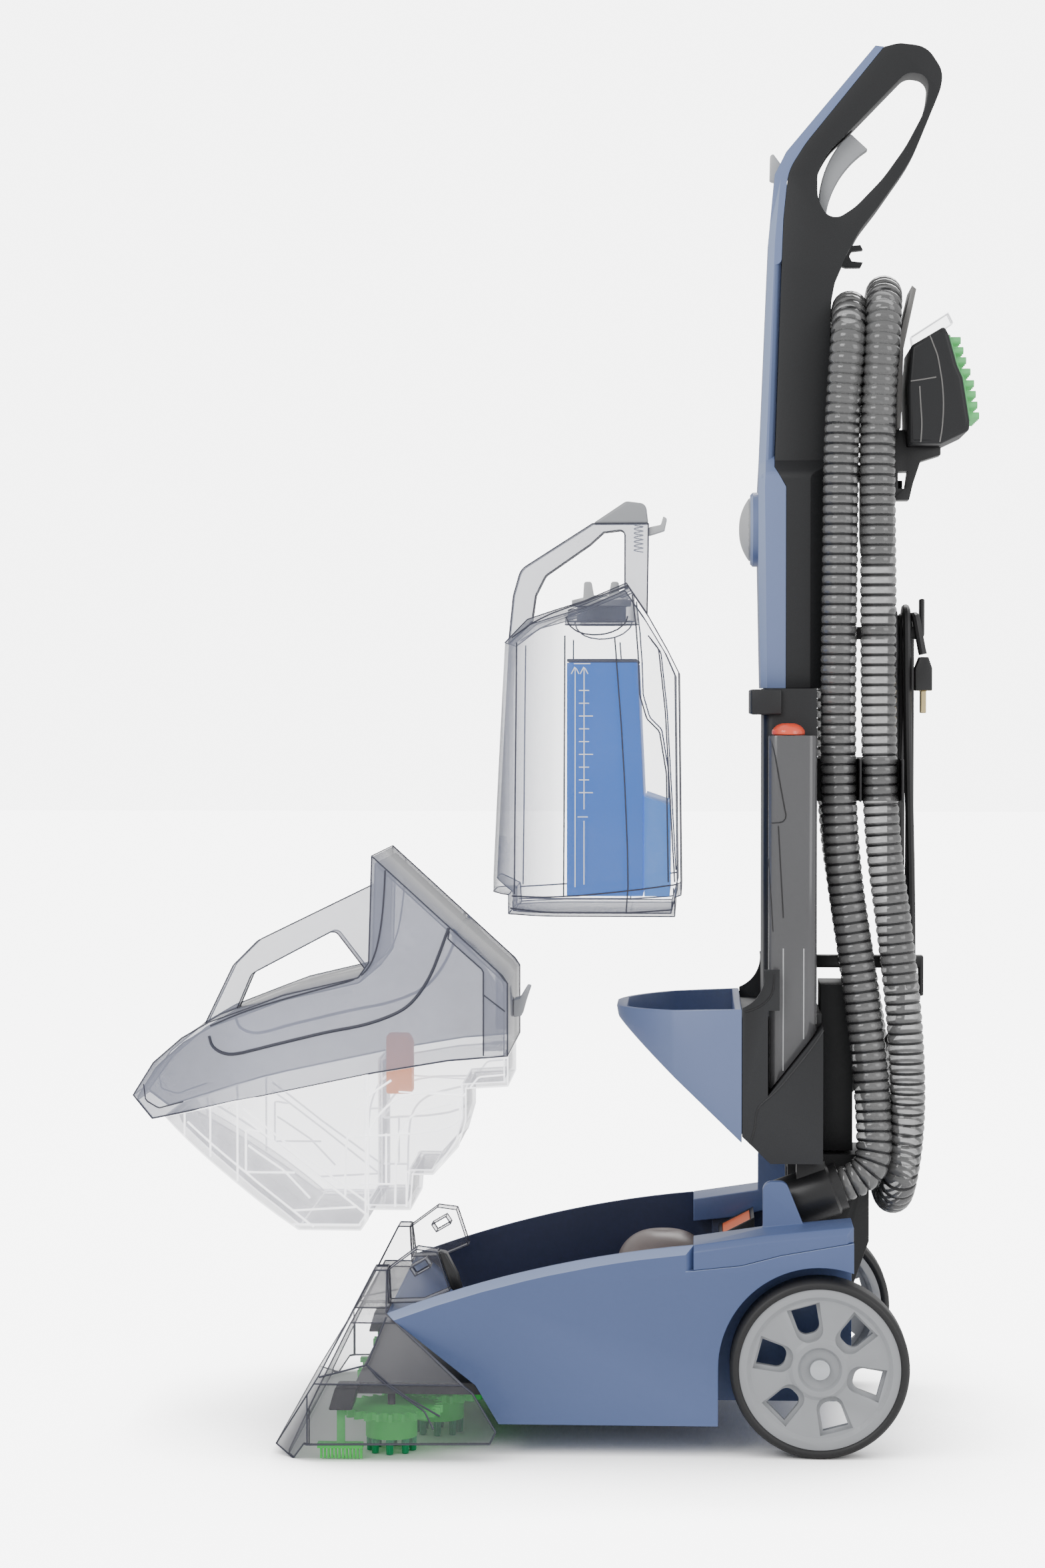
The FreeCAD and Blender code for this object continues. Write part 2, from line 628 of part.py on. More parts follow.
def column_fittings():
    """Latch collar, near-side duct with its red cap, and the suction port that takes the hose."""
    collar = body("latch_collar")
    pad(collar, [(-52, seam_z - 21), (-28, seam_z - 21), (-28, seam_z - 1), (-52, seam_z - 1)],
        -column_half - 4, column_half + 4)
    inside = column_half + fit
    cut(collar, [(-42 - fit, -inside), (-20, -inside), (-20, inside), (-42 - fit, inside)], 500, 700, "XY")
    duct = body("side_duct")
    outward = column_half + 28
    pad(duct, [(-38.5, 555), (-38.5, 274.5), (-0.5, 322.5), (-0.5, 555)], -outward, -column_half - fit)
    soften(duct, 8, lambda c, b: abs(c.y + outward) < 0.1 and b.ZLength > 150)
    cap = body("duct_cap", -23, -column_half - 14, 555 + fit)
    spin(cap, [(0, 0), (13, 0), (13, 3), ("via", 9, 7.4), (2, 9), (0, 9)])
    start_x, start_y, start_z = HOSE_ROUTE[0]
    pipe = body("port_pipe", start_x, start_y, start_z, (Vector(0, 1, 0), -PORT_TILT))
    spin(pipe, [(-50, 0), (-50, 21.5), (-8, 21.5), (-6, 19), (0, 19), (0, 0)], "XZ", "H_Axis")
    stand = body("port_stand")
    pad(stand, [(-16, 196), (6, 196), (6, UNDER - fit), (-16, UNDER - fit)], start_y - 12, start_y + 12)
    joined("hose_port", pipe, stand)


def hose_clips():
    """Comb behind the column that keeps the hose's runs apart on both sides."""
    part = body("hose_clips")
    low, high = 502, 536
    pad(part, [(fit, low), (8, low), (8, high), (fit, high)], -34, 34)
    for side in SIDES:
        pad(part, [(fit, low), (68.3, low), (68.3, high), (fit, high)], *span(side, 31, 34))
        for bar in (33.4, 66.6):
            pad(part, [(bar, low), (bar + 1.7, low), (bar + 1.7, high), (bar, high)], *span(side, 33, 66))


def cord_hooks():
    """Two posts out of the column's back, their tips turned up and down, that the mains cord is wound on."""
    part = body("cord_hooks")
    inner, low, high = HANK_INNER
    seat = inner - math.sqrt(inner ** 2 - 49) + 0.4
    pad(part, [(fit, low + seat), (84, low + seat), (84, 344), (88, 344), (88, low + seat + 10),
               (fit, low + seat + 10)], -7, 7)
    pad(part, [(BACK - 4 + fit, high - seat - 10), (86, high - seat - 10), (88, high - seat - 7), (88, 664),
               (84, 664), (84, high - seat), (BACK - 4 + fit, high - seat)], -7, 7)


# ---------------------------------------------------------------- handle

BACK = 12
DIAL_Z = 720
DIAL_BORE = 25.6
FIN_FOOT = 799
TOOL_REAR = [(120.5, 804), (115, 838), (110.5, 848), (104, 872)]


def handle():
    """Two-piece handle: the blue front trim with the dial's bezel, and the dark shell with the grip loop."""
    spine = [(-24, seam_z), (-24, 752), (-33, 768), (-29, 895), (-26, 967), (-22, 1006, 40), (-8, 1028, 90),
             (54, 1104)]
    view = [(-head_half, seam_z - 9), (-head_half, 762, 9), (-handle_half, 774), (-handle_half + 2, 930),
            (-grip_half, 1000), (-grip_half, 1120)]
    trim_part = body("trim_strip")
    front = [(47, 1105), (-24, 1021), (-33, 1003), (-38, 949), (-42, 847), (-46, 752), (-46, 689),
             (-44, seam_z)]
    pad(trim_part, [(point[0] - fit, *point[1:]) for point in spine] + front, -60, 60)
    trim(trim_part, mirrored_x(view), "YZ")
    cut(trim_part, [(-10, 603), (-40, 603), (-42, 690), (-42, 746), (-10, 746)], 4 - head_half, head_half - 4)
    soften(trim_part, 5, lambda c, b: c.x < -30 and b.ZLength > 15 and abs(c.y) > 10, "Chamfer")
    shell = body("handle_shell")
    pad(shell, spine + [(66, 1107, 20), (88, 1104, 20), (101, 1084, 20), (99, 1070, 40), (76, 1014, 140),
                        (49, 976), (35, 958, 60), (24, 938), (15, 917, 50), (BACK, 901, 50), (BACK - 4, 760),
                        (BACK - 4, seam_z)], -60, 60)
    trim(shell, mirrored_x(view), "YZ")
    trim(shell, [(-70, -60), (-5, -head_half), (BACK, -33), (120, -33), (120, 33), (BACK, 33), (-5, head_half),
                 (-70, 60)], "XY")
    bezel = body("dial_bezel", z=DIAL_Z)
    spin(bezel, [(-52, DIAL_BORE), (-52, 28), (-50, 30), (-45, 30), (-45, DIAL_BORE)], "XZ", "H_Axis")
    loop = [(27, 1038), (72, 1084, 12), (90, 1081, 10), (88, 1056, 60), (71, 1024, 110), (53, 999, 110),
            (31, 976, 50), (12, 964, 11), (1, 982, 28), (1, 1006, 28), (10, 1022, 45)]
    cut(shell, loop, -60, 60)
    cut(shell, [(-60, seam_z + 11), (BACK - 8, seam_z + 11), (BACK - 8, 760), (BACK - 5, 890), (-14, 905), (-60, 905)],
        4 - handle_half, handle_half - 4)
    cut(shell, [(-1, 964), (9, 964), (30, 1040), (24, 1044), (4, 1034), (-4, 1008)], -6.8, 6.8)
    for half in (trim_part, shell):
        cut(half, [(-45, 993), (-19, 993), (-14, 1014), (-22, 1027), (-45, 1027)], -6.3, 6.3)
    joined("handle_trim", trim_part, bezel)
    clip = [(12, 934), (24, 930), (36, 930), (38, 934), (29, 935), (27, 939), (29, 943), (38, 944), (36, 948),
            (24, 947), (14, 944)]
    pad(shell, clip, -5, 5)


def trigger_group():
    """Spray trigger and the thumb lever at the front of the stem."""
    part = body("trigger")
    pad(part, [(3, 970), (8, 968), ("via", 19, 1001), (42, 1024), (28, 1037), (21, 1031), ("via", 6, 1004)], -6, 6)
    lever = body("thumb_lever")
    pad(lever, [(-37, 1000), (-30, 998), (-20, 1002), (-20, 1009), (-27, 1012), (-34, 1021.5), (-36.5, 1020)], -5.5, 5.5)


def mode_dial():
    """Dome-shaped dial turning inside its bezel."""
    dial = body("mode_dial", z=DIAL_Z)
    spin(dial, [(-61, 0), (-61, 2), ("via", -59, 14), (-53, DIAL_BORE - fit), (-46 - fit, DIAL_BORE - fit),
                (-46 - fit, 0)], "XZ", "H_Axis")


def hose_guard():
    """Two-step saddle that the hose hangs over, and the dark fin behind it."""
    part = body("hose_guard")
    for start, end, centre in ((BACK + fit, 43, FIRST_TOP), (42, 66, SECOND_TOP)):
        top = centre - hose_radius
        pad(part, [(-33, top - 42), ("via", 0, top), (33, top - 42), (20, top - 42), (20, top - 14),
                   (-20, top - 14), (-20, top - 42)], start, end, "YZ")
    pad(part, [(64, FIN_FOOT), (67, FIN_FOOT), (69, 862), (79, 909), (75.5, 912), (64, 862)], -33, 33)


def hand_tool():
    """Stair tool standing on its holder behind the fin: body, window with its tube, and bristles."""
    holder = body("tool_holder")
    pad(holder, [(60, 743), (75, 743), (78, 756), (84, 774), (100, 779), (100, 785.4 - fit), (73 - fit, 785.4 - fit),
                 (72 - fit, FIN_FOOT), (60, FIN_FOOT)], -13, 13)
    cut(holder, [(66, 752), (72, 752), (74, 766), (66, 766)], -14, 14)
    pad(holder, [(60, 745), (71, 745), (71, 760), (60, 760)], 12, 44)
    end_x, end_y, end_z = HOSE_ROUTE[-1]
    connector = body("hose_connector", end_x, end_y, end_z)
    spin(connector, [(0, 0), (16, 0), (16, -12), (14, -14), (14, -60), (11, -82), (0, -82)])
    cut(holder, ("circle", end_x, end_y, 16 + fit), 740, 780, "XY")
    tool = body("tool_body")
    rear = [(TOOL_REAR[0][0], 796)] + TOOL_REAR
    pad(tool, [(73, 785.4), (98, 785.4)] + rear + [(100.4, 878.5), (74, 863), (71.5, 830)], -45, 45)
    soften(tool, 4, lambda c, b: abs(abs(c.y) - 45) < 0.1)
    window = body("tool_window")
    slope = (878.5 - 863) / (100.4 - 74)
    pad(window, [(78, 863 + 4 * slope), (76.5, 874), (106, 893), (110, 885), (100.4, 878.5)], -8, 8)
    bristles = body("tool_bristles")
    strip = TOOL_REAR + [(x + 1.2, z) for x, z in reversed(TOOL_REAR)]
    pad(bristles, strip, -40, 40)
    for (x0, z0), (x1, z1) in zip(TOOL_REAR, TOOL_REAR[1:]):
        count = round(math.hypot(x1 - x0, z1 - z0) / 9)
        for row in range(count):
            share = (row + 0.5) / count
            root = x0 + share * (x1 - x0)
            for tuft in range(6):
                pad(bristles, ("circle", -33 + 13.2 * tuft, z0 + share * (z1 - z0), Size(2.9)),
                    root + 1.35, root + 9, "YZ")


# ---------------------------------------------------------------- clean tank

CLEAN_CAP = (-172, 648)


def clean_tank():
    """Clear front tank: bowed shell with a hump, filler neck and a carrying handle over it."""
    side = [(-244, 413), (-112, 413), (-112, 428), (-107, 430), (-107, 440), (-109, 604), (-118, 622), (-135, 652),
            (-150, 674), (-183, 660), (-228, 646), (-247, 628), (-258, 440), (-258, 429), (-244, 428)]
    back = -107
    plan = [(back, -tank_half), (-205, -tank_half), ("via", -243, 30 - tank_half), (-258, 0),
            ("via", -243, tank_half - 30), (-205, tank_half), (back, tank_half)]
    outer = body("clean_outer")
    pad(outer, side, -tank_half, tank_half)
    trim(outer, plan, "XY")
    inner = body("clean_inner")
    wall = tank_wall
    pad(inner, [(-240, 413 + wall), (-115, 413 + wall), (-110, 434), (-112, 602), (-120, 620), (-137, 648),
                (-151, 668), (-182, 655), (-226, 642), (-244, 627), (-255, 440), (-241, 431)],
        wall - tank_half, tank_half - wall)
    trim(inner, [(back - wall, wall - tank_half), (-204, wall - tank_half), ("via", -241, 32 - tank_half),
                 (-255, 0), ("via", -241, tank_half - 32), (-204, tank_half - wall),
                 (back - wall, tank_half - wall)], "XY")
    cup = disc("cap_cup", 29.5, CLEAN_CAP[1] - 4.5, 80)
    well = disc("cap_well", 27, CLEAN_CAP[1] - 2, 80)
    neck = disc("cap_neck", 20, CLEAN_CAP[1] - 2, 12)
    bore = disc("neck_bore", 17, CLEAN_CAP[1] - 6, 80)
    cavity = combine("Part::Cut", "clean_cavity", inner, cup)
    walls = combine("Part::Cut", "clean_walls", outer, cavity)
    open_top = combine("Part::Cut", "clean_open_top", walls, well)
    necked = combine("Part::Fuse", "clean_necked", open_top, neck)
    combine("Part::Cut", "clean_tank", necked, bore)
    for part in (outer, inner):
        LABELS.remove(part.Label)
    LABELS.append("clean_tank")


def disc(label, radius, low, height):
    """A plain round block on the filler's axis."""
    made = doc.addObject("Part::Cylinder", label)
    made.Radius = radius
    made.Height = height
    made.Placement.Base = Vector(0, 0, low)
    made.setExpression("Placement.Base.x", (axle_x + CLEAN_CAP[0]).formula)
    return made


def combine(kind, label, base, tool):
    made = doc.addObject(kind, label)
    made.Base = base
    made.Tool = tool
    made.Label = label
    return made


def clean_tank_fittings():
    """Winged cap, carrying handle with its grey grip, and the sprung hook that holds the tank in."""
    cap = body("tank_cap", CLEAN_CAP[0], 0, CLEAN_CAP[1] + 10 + fit)
    spin(cap, [(0, 0), (24, 0), (24, 5), (16, 7), (0, 7)])
    pad(cap, [(-15, 4), (15, 4), (14, 20, 2), (8, 20, 2), (6, 9), (-6, 9), (-8, 20, 2), (-14, 20, 2)], -2.5, 2.5)
    handle_bar = body("clean_handle")
    pad(handle_bar, [(-247, 628), (-243, 667), (-237, 688, 14), (-179, 725), (-134, 725), (-134, 716), (-135, 652),
                     (-150, 674), (-153, 672.73), (-153, 720, 4), (-170, 718), (-181, 708), (-217, 683, 9),
                     (-225, 667), (-228, 646)], -9, 9)
    grip = body("clean_grip")
    pad(grip, [(-179, 725), (-152, 743, 6), (-136, 741, 6), (-134, 725)], -10, 10)
    hook = body("tank_hook")
    pad(hook, [(-134 + fit, 715), (-134 + fit, 722), (-124, 724), (-122, 731), (-119, 729), (-121, 719)], -6, 6)


# ---------------------------------------------------------------- recovery tank

LID_EDGE = [(-532, 246), (-462, 265), (-349, 289), (-290, 299), (-243, 303)]
CHAMBER_HIGH = 25


def recovery_tank():
    """Smoky lid with its rising duct, and the clear tub below it."""
    crown = [(-243, 360), (-247, 366), (-350, 460), (-352.5, 376), (-361, 364), (-420, 350),
             (-481, 327), (-505, 313), (-531, 291), (-550, 263)]
    wall = tank_wall
    outer = body("lid_outer")
    pad(outer, LID_EDGE + crown, -tank_half, tank_half)
    plan = [(-242, -tank_half), (-440, -tank_half), ("via", -520, 40 - tank_half), (-550, -30), (-550, 30),
            ("via", -520, tank_half - 40), (-440, tank_half), (-242, tank_half)]
    trim(outer, plan, "XY")
    inner = body("lid_inner")
    pad(inner, [(-546, 240), (-546, 262), (-529, 287), (-504, 309), (-480, 323), (-420, 346), (-360, 360),
                (-349.5, 374), (-347.4, 453.6), (-248.5, 363.3), (-246, 359), (-246, 240)],
        wall - tank_half, tank_half - wall)
    trim(inner, [(-242 - wall, wall - tank_half), (-440, wall - tank_half), ("via", -518, 42 - tank_half),
                 (-546, -30), (-546, 30), ("via", -518, tank_half - 42), (-440, tank_half - wall),
                 (-242 - wall, tank_half - wall)], "XY")
    hollowed("recovery_lid", outer, inner)
    under = [(x, z - fit) for x, z in LID_EDGE]
    tub_outer = body("tub_outer")
    pad(tub_outer, [(-522, 248 - fit), under[1], (-353, 288.15 - fit), (-353, 174), (-359, 165), (-408, 165), (-424, 176), (-455, 199)],
        -tank_half, tank_half)
    trim(tub_outer, [(-340, -tank_half), (-440, -tank_half), ("via", -512, 40 - tank_half), (-530, -30),
                     (-530, 30), ("via", -512, tank_half - 40), (-440, tank_half), (-340, tank_half)], "XY")
    pad(tub_outer, [(-356, 181), (-320, 181), (-318, 209), (-302, 209), (-282, 231), (-276, 252), (-276, 277),
                    (-243, 279), (-243, 303 - fit), (-290, 299 - fit), under[2], (-356, 287.5 - fit)],
        3 - tank_half, CHAMBER_HIGH)
    tub_inner = body("tub_inner")
    pad(tub_inner, [(-515, 260), (-507, 244), (-453, 204), (-423, 181), (-407, 168), (-361, 168), (-355.5, 176), (-355.5, 300)],
        wall - tank_half, tank_half - wall)
    trim(tub_inner, [(-352, wall - tank_half), (-440, wall - tank_half), ("via", -508, 42 - tank_half),
                     (-526, -30), (-526, 30), ("via", -508, tank_half - 42), (-440, tank_half - wall),
                     (-352, tank_half - wall)], "XY")
    pad(tub_inner, [(-357, 184), (-323, 184), (-321, 212), (-303, 212), (-285, 232), (-279, 253), (-279, 280),
                    (-246, 282), (-246, 310), (-357, 310)], 6 - tank_half, CHAMBER_HIGH - 3)
    hollowed("recovery_tub", tub_outer, tub_inner)


def recovery_fittings():
    """Carrying handle, float with its guide travel, and the wing latch at the back."""
    bar = body("recovery_handle")
    pad(bar, [(-494, 319.42), (-471, 367, 10), (-451, 387, 10), (-350.72, 436), (-352.5, 376), (-361, 364),
              (-363, 363.53), (-388, 396, 6), (-456, 360, 8), (-468, 331.9), (-481, 327)], -11, 11)
    ball = body("recovery_float")
    pad(ball, [(-347, 262), (-326, 262), (-326, 304), (-330, 310), (-347, 310)], CHAMBER_HIGH - 29.5, CHAMBER_HIGH - 3.5)
    latch = body("recovery_latch")
    pad(latch, [(-243 + fit, 326), (-236, 327), (-233, 338), (-229, 350), (-232, 351), (-238, 341),
                (-243 + fit, 340)], -14, 14)


# ---------------------------------------------------------------- hose and cord

FIRST_TOP, SECOND_TOP = 897, 909
PORT_TILT = 20
RISE = math.tan(math.radians(PORT_TILT))
HOSE_ROUTE = [(20, -68, 199.5), (38, -68, 199.5 + 18 * RISE), (46, -66, 221.5), (45.5, -62, 250), (42, -57, 300),
              (33, -53, 370), (22, -51, 440), (17.5, -50, 500), (17, -50, 590), (18, -50, 680), (19, -50, 800),
              (27, -50, FIRST_TOP), (28, 50, FIRST_TOP), (20, 50, 800), (18, 50, 680), (17.5, 50, 590),
              (18, 50, 490), (30, 51, 410), (46, 54, 320), (57, 54, 245), (61, 45, 183), (64, -46, 183),
              (73, -56, 245), (71, -56, 320), (62, -53, 400), (51, -50, 480), (49, -50, 580), (48.5, -50, 690),
              (47, -50, 800), (54, -50, SECOND_TOP), (55, 50, SECOND_TOP), (52, 50, 842), (52, 50, 775)]
LEAD_ROUTE = [(33 + 6 * math.sqrt(0.5), 0, 278 + 6 * math.sqrt(0.5)), (70, 0, 315), (70, 0, 348)]
TAIL_ROUTE = [(80.5, -15, 650), (83, -15, 634), (86.5, -15, 617)]


def tube_path(points):
    """Straight runs joined by arcs as large as the runs allow; returns the wire and the arcs' radii."""
    spots = [Vector(axle_x + p[0], p[1], p[2]) for p in points]
    edges, radii = [], []
    start = spots[0]
    for before, here, after in zip(spots, spots[1:], spots[2:]):
        back, ahead = before - here, after - here
        shorter = min(back.Length, ahead.Length)
        turn = math.pi - back.getAngle(ahead)
        reach = 0.45 * shorter
        radius = reach / math.tan(turn / 2)
        radii.append(radius)
        back.normalize()
        ahead.normalize()
        first, last = here + back * reach, here + ahead * reach
        to_middle = (back + ahead).normalize()
        middle = here + to_middle * (radius / math.cos(turn / 2) - radius)
        edges.append(Part.LineSegment(start, first).toShape())
        edges.append(Part.Arc(first, middle, last).toShape())
        start = last
    edges.append(Part.LineSegment(start, spots[-1]).toShape())
    return Part.Wire(edges), radii


def tube(points, radius):
    """A closed round tube along a route."""
    path, radii = tube_path(points)
    first = path.Edges[0]
    ring = Part.Circle(first.valueAt(first.FirstParameter), first.tangentAt(first.FirstParameter), radius)
    solid = path.makePipe(Part.Face(Part.Wire([ring.toShape()])))
    expected = math.pi * radius ** 2 * path.Length
    print(f"tube: length {path.Length:.1f}, radii {[round(r) for r in radii]}, "
          f"volume {solid.Volume / expected:.4f} of section x length")
    return solid


def feature(label, shape):
    made = doc.addObject("Part::Feature", label)
    made.Label = label
    made.Shape = shape
    LABELS.append(label)
    return made


def hose_and_cord():
    """Ribbed suction hose over its saddle, and the mains cord wound on its hooks."""
    feature("hose", tube(HOSE_ROUTE, hose_radius))
    feature("power_cord", Part.makeCompound([tube(LEAD_ROUTE, cord_radius), tube(TAIL_ROUTE, cord_radius)]))
    hank = body("cord_hank")
    inner, low, high = HANK_INNER
    for reach, build in ((HANK_WALL, pad), (0, cut)):
        half, bottom, top = inner + reach, low - reach, high + reach
        build(hank, [(-half, bottom + half), ("via", 0, bottom), (half, bottom + half), (half, top - half),
                     ("via", 0, top), (-half, top - half)], HANK_X[0], HANK_X[1], "YZ")
    plug = body("mains_plug")
    tail_y = TAIL_ROUTE[-1][1]
    pad(plug, [(79.5, 590), (93, 590), (93, 608), (90, 617), (83, 617), (79.5, 608)], tail_y - 11, tail_y + 11)
    for side in SIDES:
        pad(plug, [(84, 572), (88.5, 572), (88.5, 591), (84, 591)], tail_y + side * 6 - 0.8, tail_y + side * 6 + 0.8)


# ---------------------------------------------------------------- build and save

base_shell()
shoulder_covers()
motor_group()
filter_group()
pump()
axle_and_caps()
wheel("right", -1)
wheel("left", 1)
nozzle_hood()
hood_latches()
spray_and_combs()
brushes()
brush_deck()
pivot_yoke()
column()
rear_housing()
tray()
column_fittings()
hose_clips()
cord_hooks()
handle()
trigger_group()
mode_dial()
hose_guard()
hand_tool()
clean_tank()
clean_tank_fittings()
recovery_tank()
recovery_fittings()
hose_and_cord()
doc.recompute()

faults = [thing.Name for thing in doc.Objects if {"Invalid", "Error"} & set(thing.State)]
pieces = {label: doc.getObjectsByLabel(label)[0] for label in LABELS}
faults += [label for label, thing in pieces.items() if thing.Shape.isNull() or not thing.Shape.isValid()]
if faults:
    raise ValueError(f"not built: {faults}")

os.makedirs("parts", exist_ok=True)
for label, thing in pieces.items():
    thing.Shape.exportStep(f"parts/{label}.step")
    box = thing.Shape.BoundBox
    print(f"{label:18s} {len(thing.Shape.Solids)} solids {thing.Shape.Volume / 1000:9.2f} cm3  "
          f"x {box.XMin:7.1f} {box.XMax:7.1f}  y {box.YMin:7.1f} {box.YMax:7.1f}  z {box.ZMin:7.1f} {box.ZMax:7.1f}")
print(len(pieces), "nodes")
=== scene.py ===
# %% [markdown]
# # A carpet cleaner, piece by piece
# The machine stands on its wheels with both tanks lifted off.  The CAD frame gives every piece its place.
# Here each piece is dressed: edges are rounded, plastics get grain and sheen, and the hose, brushes, liquid
# and seams are built in detail.  Sizes are in millimetres from the axle's line and become metres in `at`.
# %%
# Imports, the frame and its first measured box
import json
import math
import bmesh
import bpy
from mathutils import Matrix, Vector
from mathutils.bvhtree import BVHTree


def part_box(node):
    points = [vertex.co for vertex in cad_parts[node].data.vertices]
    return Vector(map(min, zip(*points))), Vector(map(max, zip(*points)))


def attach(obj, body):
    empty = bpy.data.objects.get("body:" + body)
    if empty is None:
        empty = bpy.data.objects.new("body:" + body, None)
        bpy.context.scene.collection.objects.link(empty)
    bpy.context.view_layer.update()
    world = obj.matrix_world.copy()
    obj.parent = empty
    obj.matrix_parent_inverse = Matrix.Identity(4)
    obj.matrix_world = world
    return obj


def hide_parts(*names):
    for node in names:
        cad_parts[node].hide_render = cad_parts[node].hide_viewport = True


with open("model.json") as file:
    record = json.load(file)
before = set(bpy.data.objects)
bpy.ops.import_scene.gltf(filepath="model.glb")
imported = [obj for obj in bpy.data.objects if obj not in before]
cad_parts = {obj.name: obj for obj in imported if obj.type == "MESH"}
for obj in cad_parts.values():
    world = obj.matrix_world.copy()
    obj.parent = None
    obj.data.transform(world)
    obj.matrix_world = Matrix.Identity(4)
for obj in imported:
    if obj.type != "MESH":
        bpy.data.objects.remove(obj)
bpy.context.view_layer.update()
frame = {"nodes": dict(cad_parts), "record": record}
AXLE_X = 0.2106
nodes = frame["nodes"]
members = frame["record"]["behaviour"]["bodies"]
body_of = {node: body for body, group in members.items() for node in group}


def at(x, y, z):
    """A point in the frame, from millimetres behind the axle, across and up."""
    return Vector((AXLE_X + x / 1000, y / 1000, z / 1000))


# %% [markdown]
# ## Camera
# A long lens nearly three metres away, square to the machine's side, keeps the perspective calm.
# %%
# Camera first, so that the first render can be compared
scene = bpy.context.scene
camera = bpy.data.objects.new("camera", bpy.data.cameras.new("camera"))
scene.collection.objects.link(camera)
camera.location = at(-97.7, -2750, 582.7)
aim = at(-236, 0, 514.4)
camera.rotation_euler = (aim - camera.location).to_track_quat("-Z", "Y").to_euler()
camera.data.lens = 77.9
camera.data.sensor_width = 36
scene.camera = camera
print("camera at", [round(c, 3) for c in camera.location])

# %% [markdown]
# ## Hose and cord routes
# The control points are those of the CAD tube.  A NURBS spline of order 3 rounds them into one smooth line.
# %%
# Route points, and the smooth line through them
RISE = math.tan(math.radians(20))
HOSE_ROUTE = [(20, -68, 199.5), (38, -68, 199.5 + 18 * RISE), (46, -66, 221.5), (45.5, -62, 250),
              (42, -57, 300), (33, -53, 370), (22, -51, 440), (17.5, -50, 500), (17, -50, 590), (18, -50, 680),
              (19, -50, 800),
              (27, -50, 897), (28, 50, 897), (20, 50, 800), (18, 50, 680), (17.5, 50, 590), (18, 50, 490),
              (30, 51, 410), (46, 54, 320), (57, 54, 245), (61, 45, 183), (64, -46, 183), (73, -56, 245),
              (71, -56, 320), (62, -53, 400), (51, -50, 480), (49, -50, 580), (48.5, -50, 690), (47, -50, 800),
              (54, -50, 909), (55, 50, 909), (52, 50, 842), (52, 50, 775)]
LEAD_ROUTE = [(33 + 6 * math.sqrt(0.5), 0, 278 + 6 * math.sqrt(0.5)), (70, 0, 315), (70, 0, 348)]
TAIL_ROUTE = [(80.5, -15, 650), (83, -15, 634), (86.5, -15, 617)]


def route_curve(name, route, radius=0.0):
    """A curve object whose one NURBS spline has the route as its control points."""
    data = bpy.data.curves.new(name, "CURVE")
    data.dimensions = "3D"
    data.resolution_u = 24
    data.bevel_depth = radius
    data.bevel_resolution = 5
    spline = data.splines.new("NURBS")
    spline.points.add(len(route) - 1)
    for point, place in zip(spline.points, route):
        point.co = (*at(*place), 1)
    spline.order_u = 3
    spline.use_endpoint_u = True
    obj = bpy.data.objects.new(name, data)
    scene.collection.objects.link(obj)
    return obj


def line_of(route):
    """Evenly close points along the smooth line, and its length in metres."""
    obj = route_curve("measure", route)
    mesh = bpy.data.meshes.new_from_object(obj.evaluated_get(bpy.context.evaluated_depsgraph_get()))
    points = [v.co.copy() for v in mesh.vertices]
    bpy.data.objects.remove(obj)
    length = sum((b - a).length for a, b in zip(points, points[1:]))
    return points, length


hose_line, hose_length = line_of(HOSE_ROUTE)
print(f"hose: {len(hose_line)} points, {hose_length:.3f} m")

# %% [markdown]
# ## Materials
# One node group makes moulded plastic: broad colour drift, fine grain and a little wear where edges stand out.
# Each material then has its own colours and roughness, and its own Principled BSDF.
# %%
# The moulded-surface node group


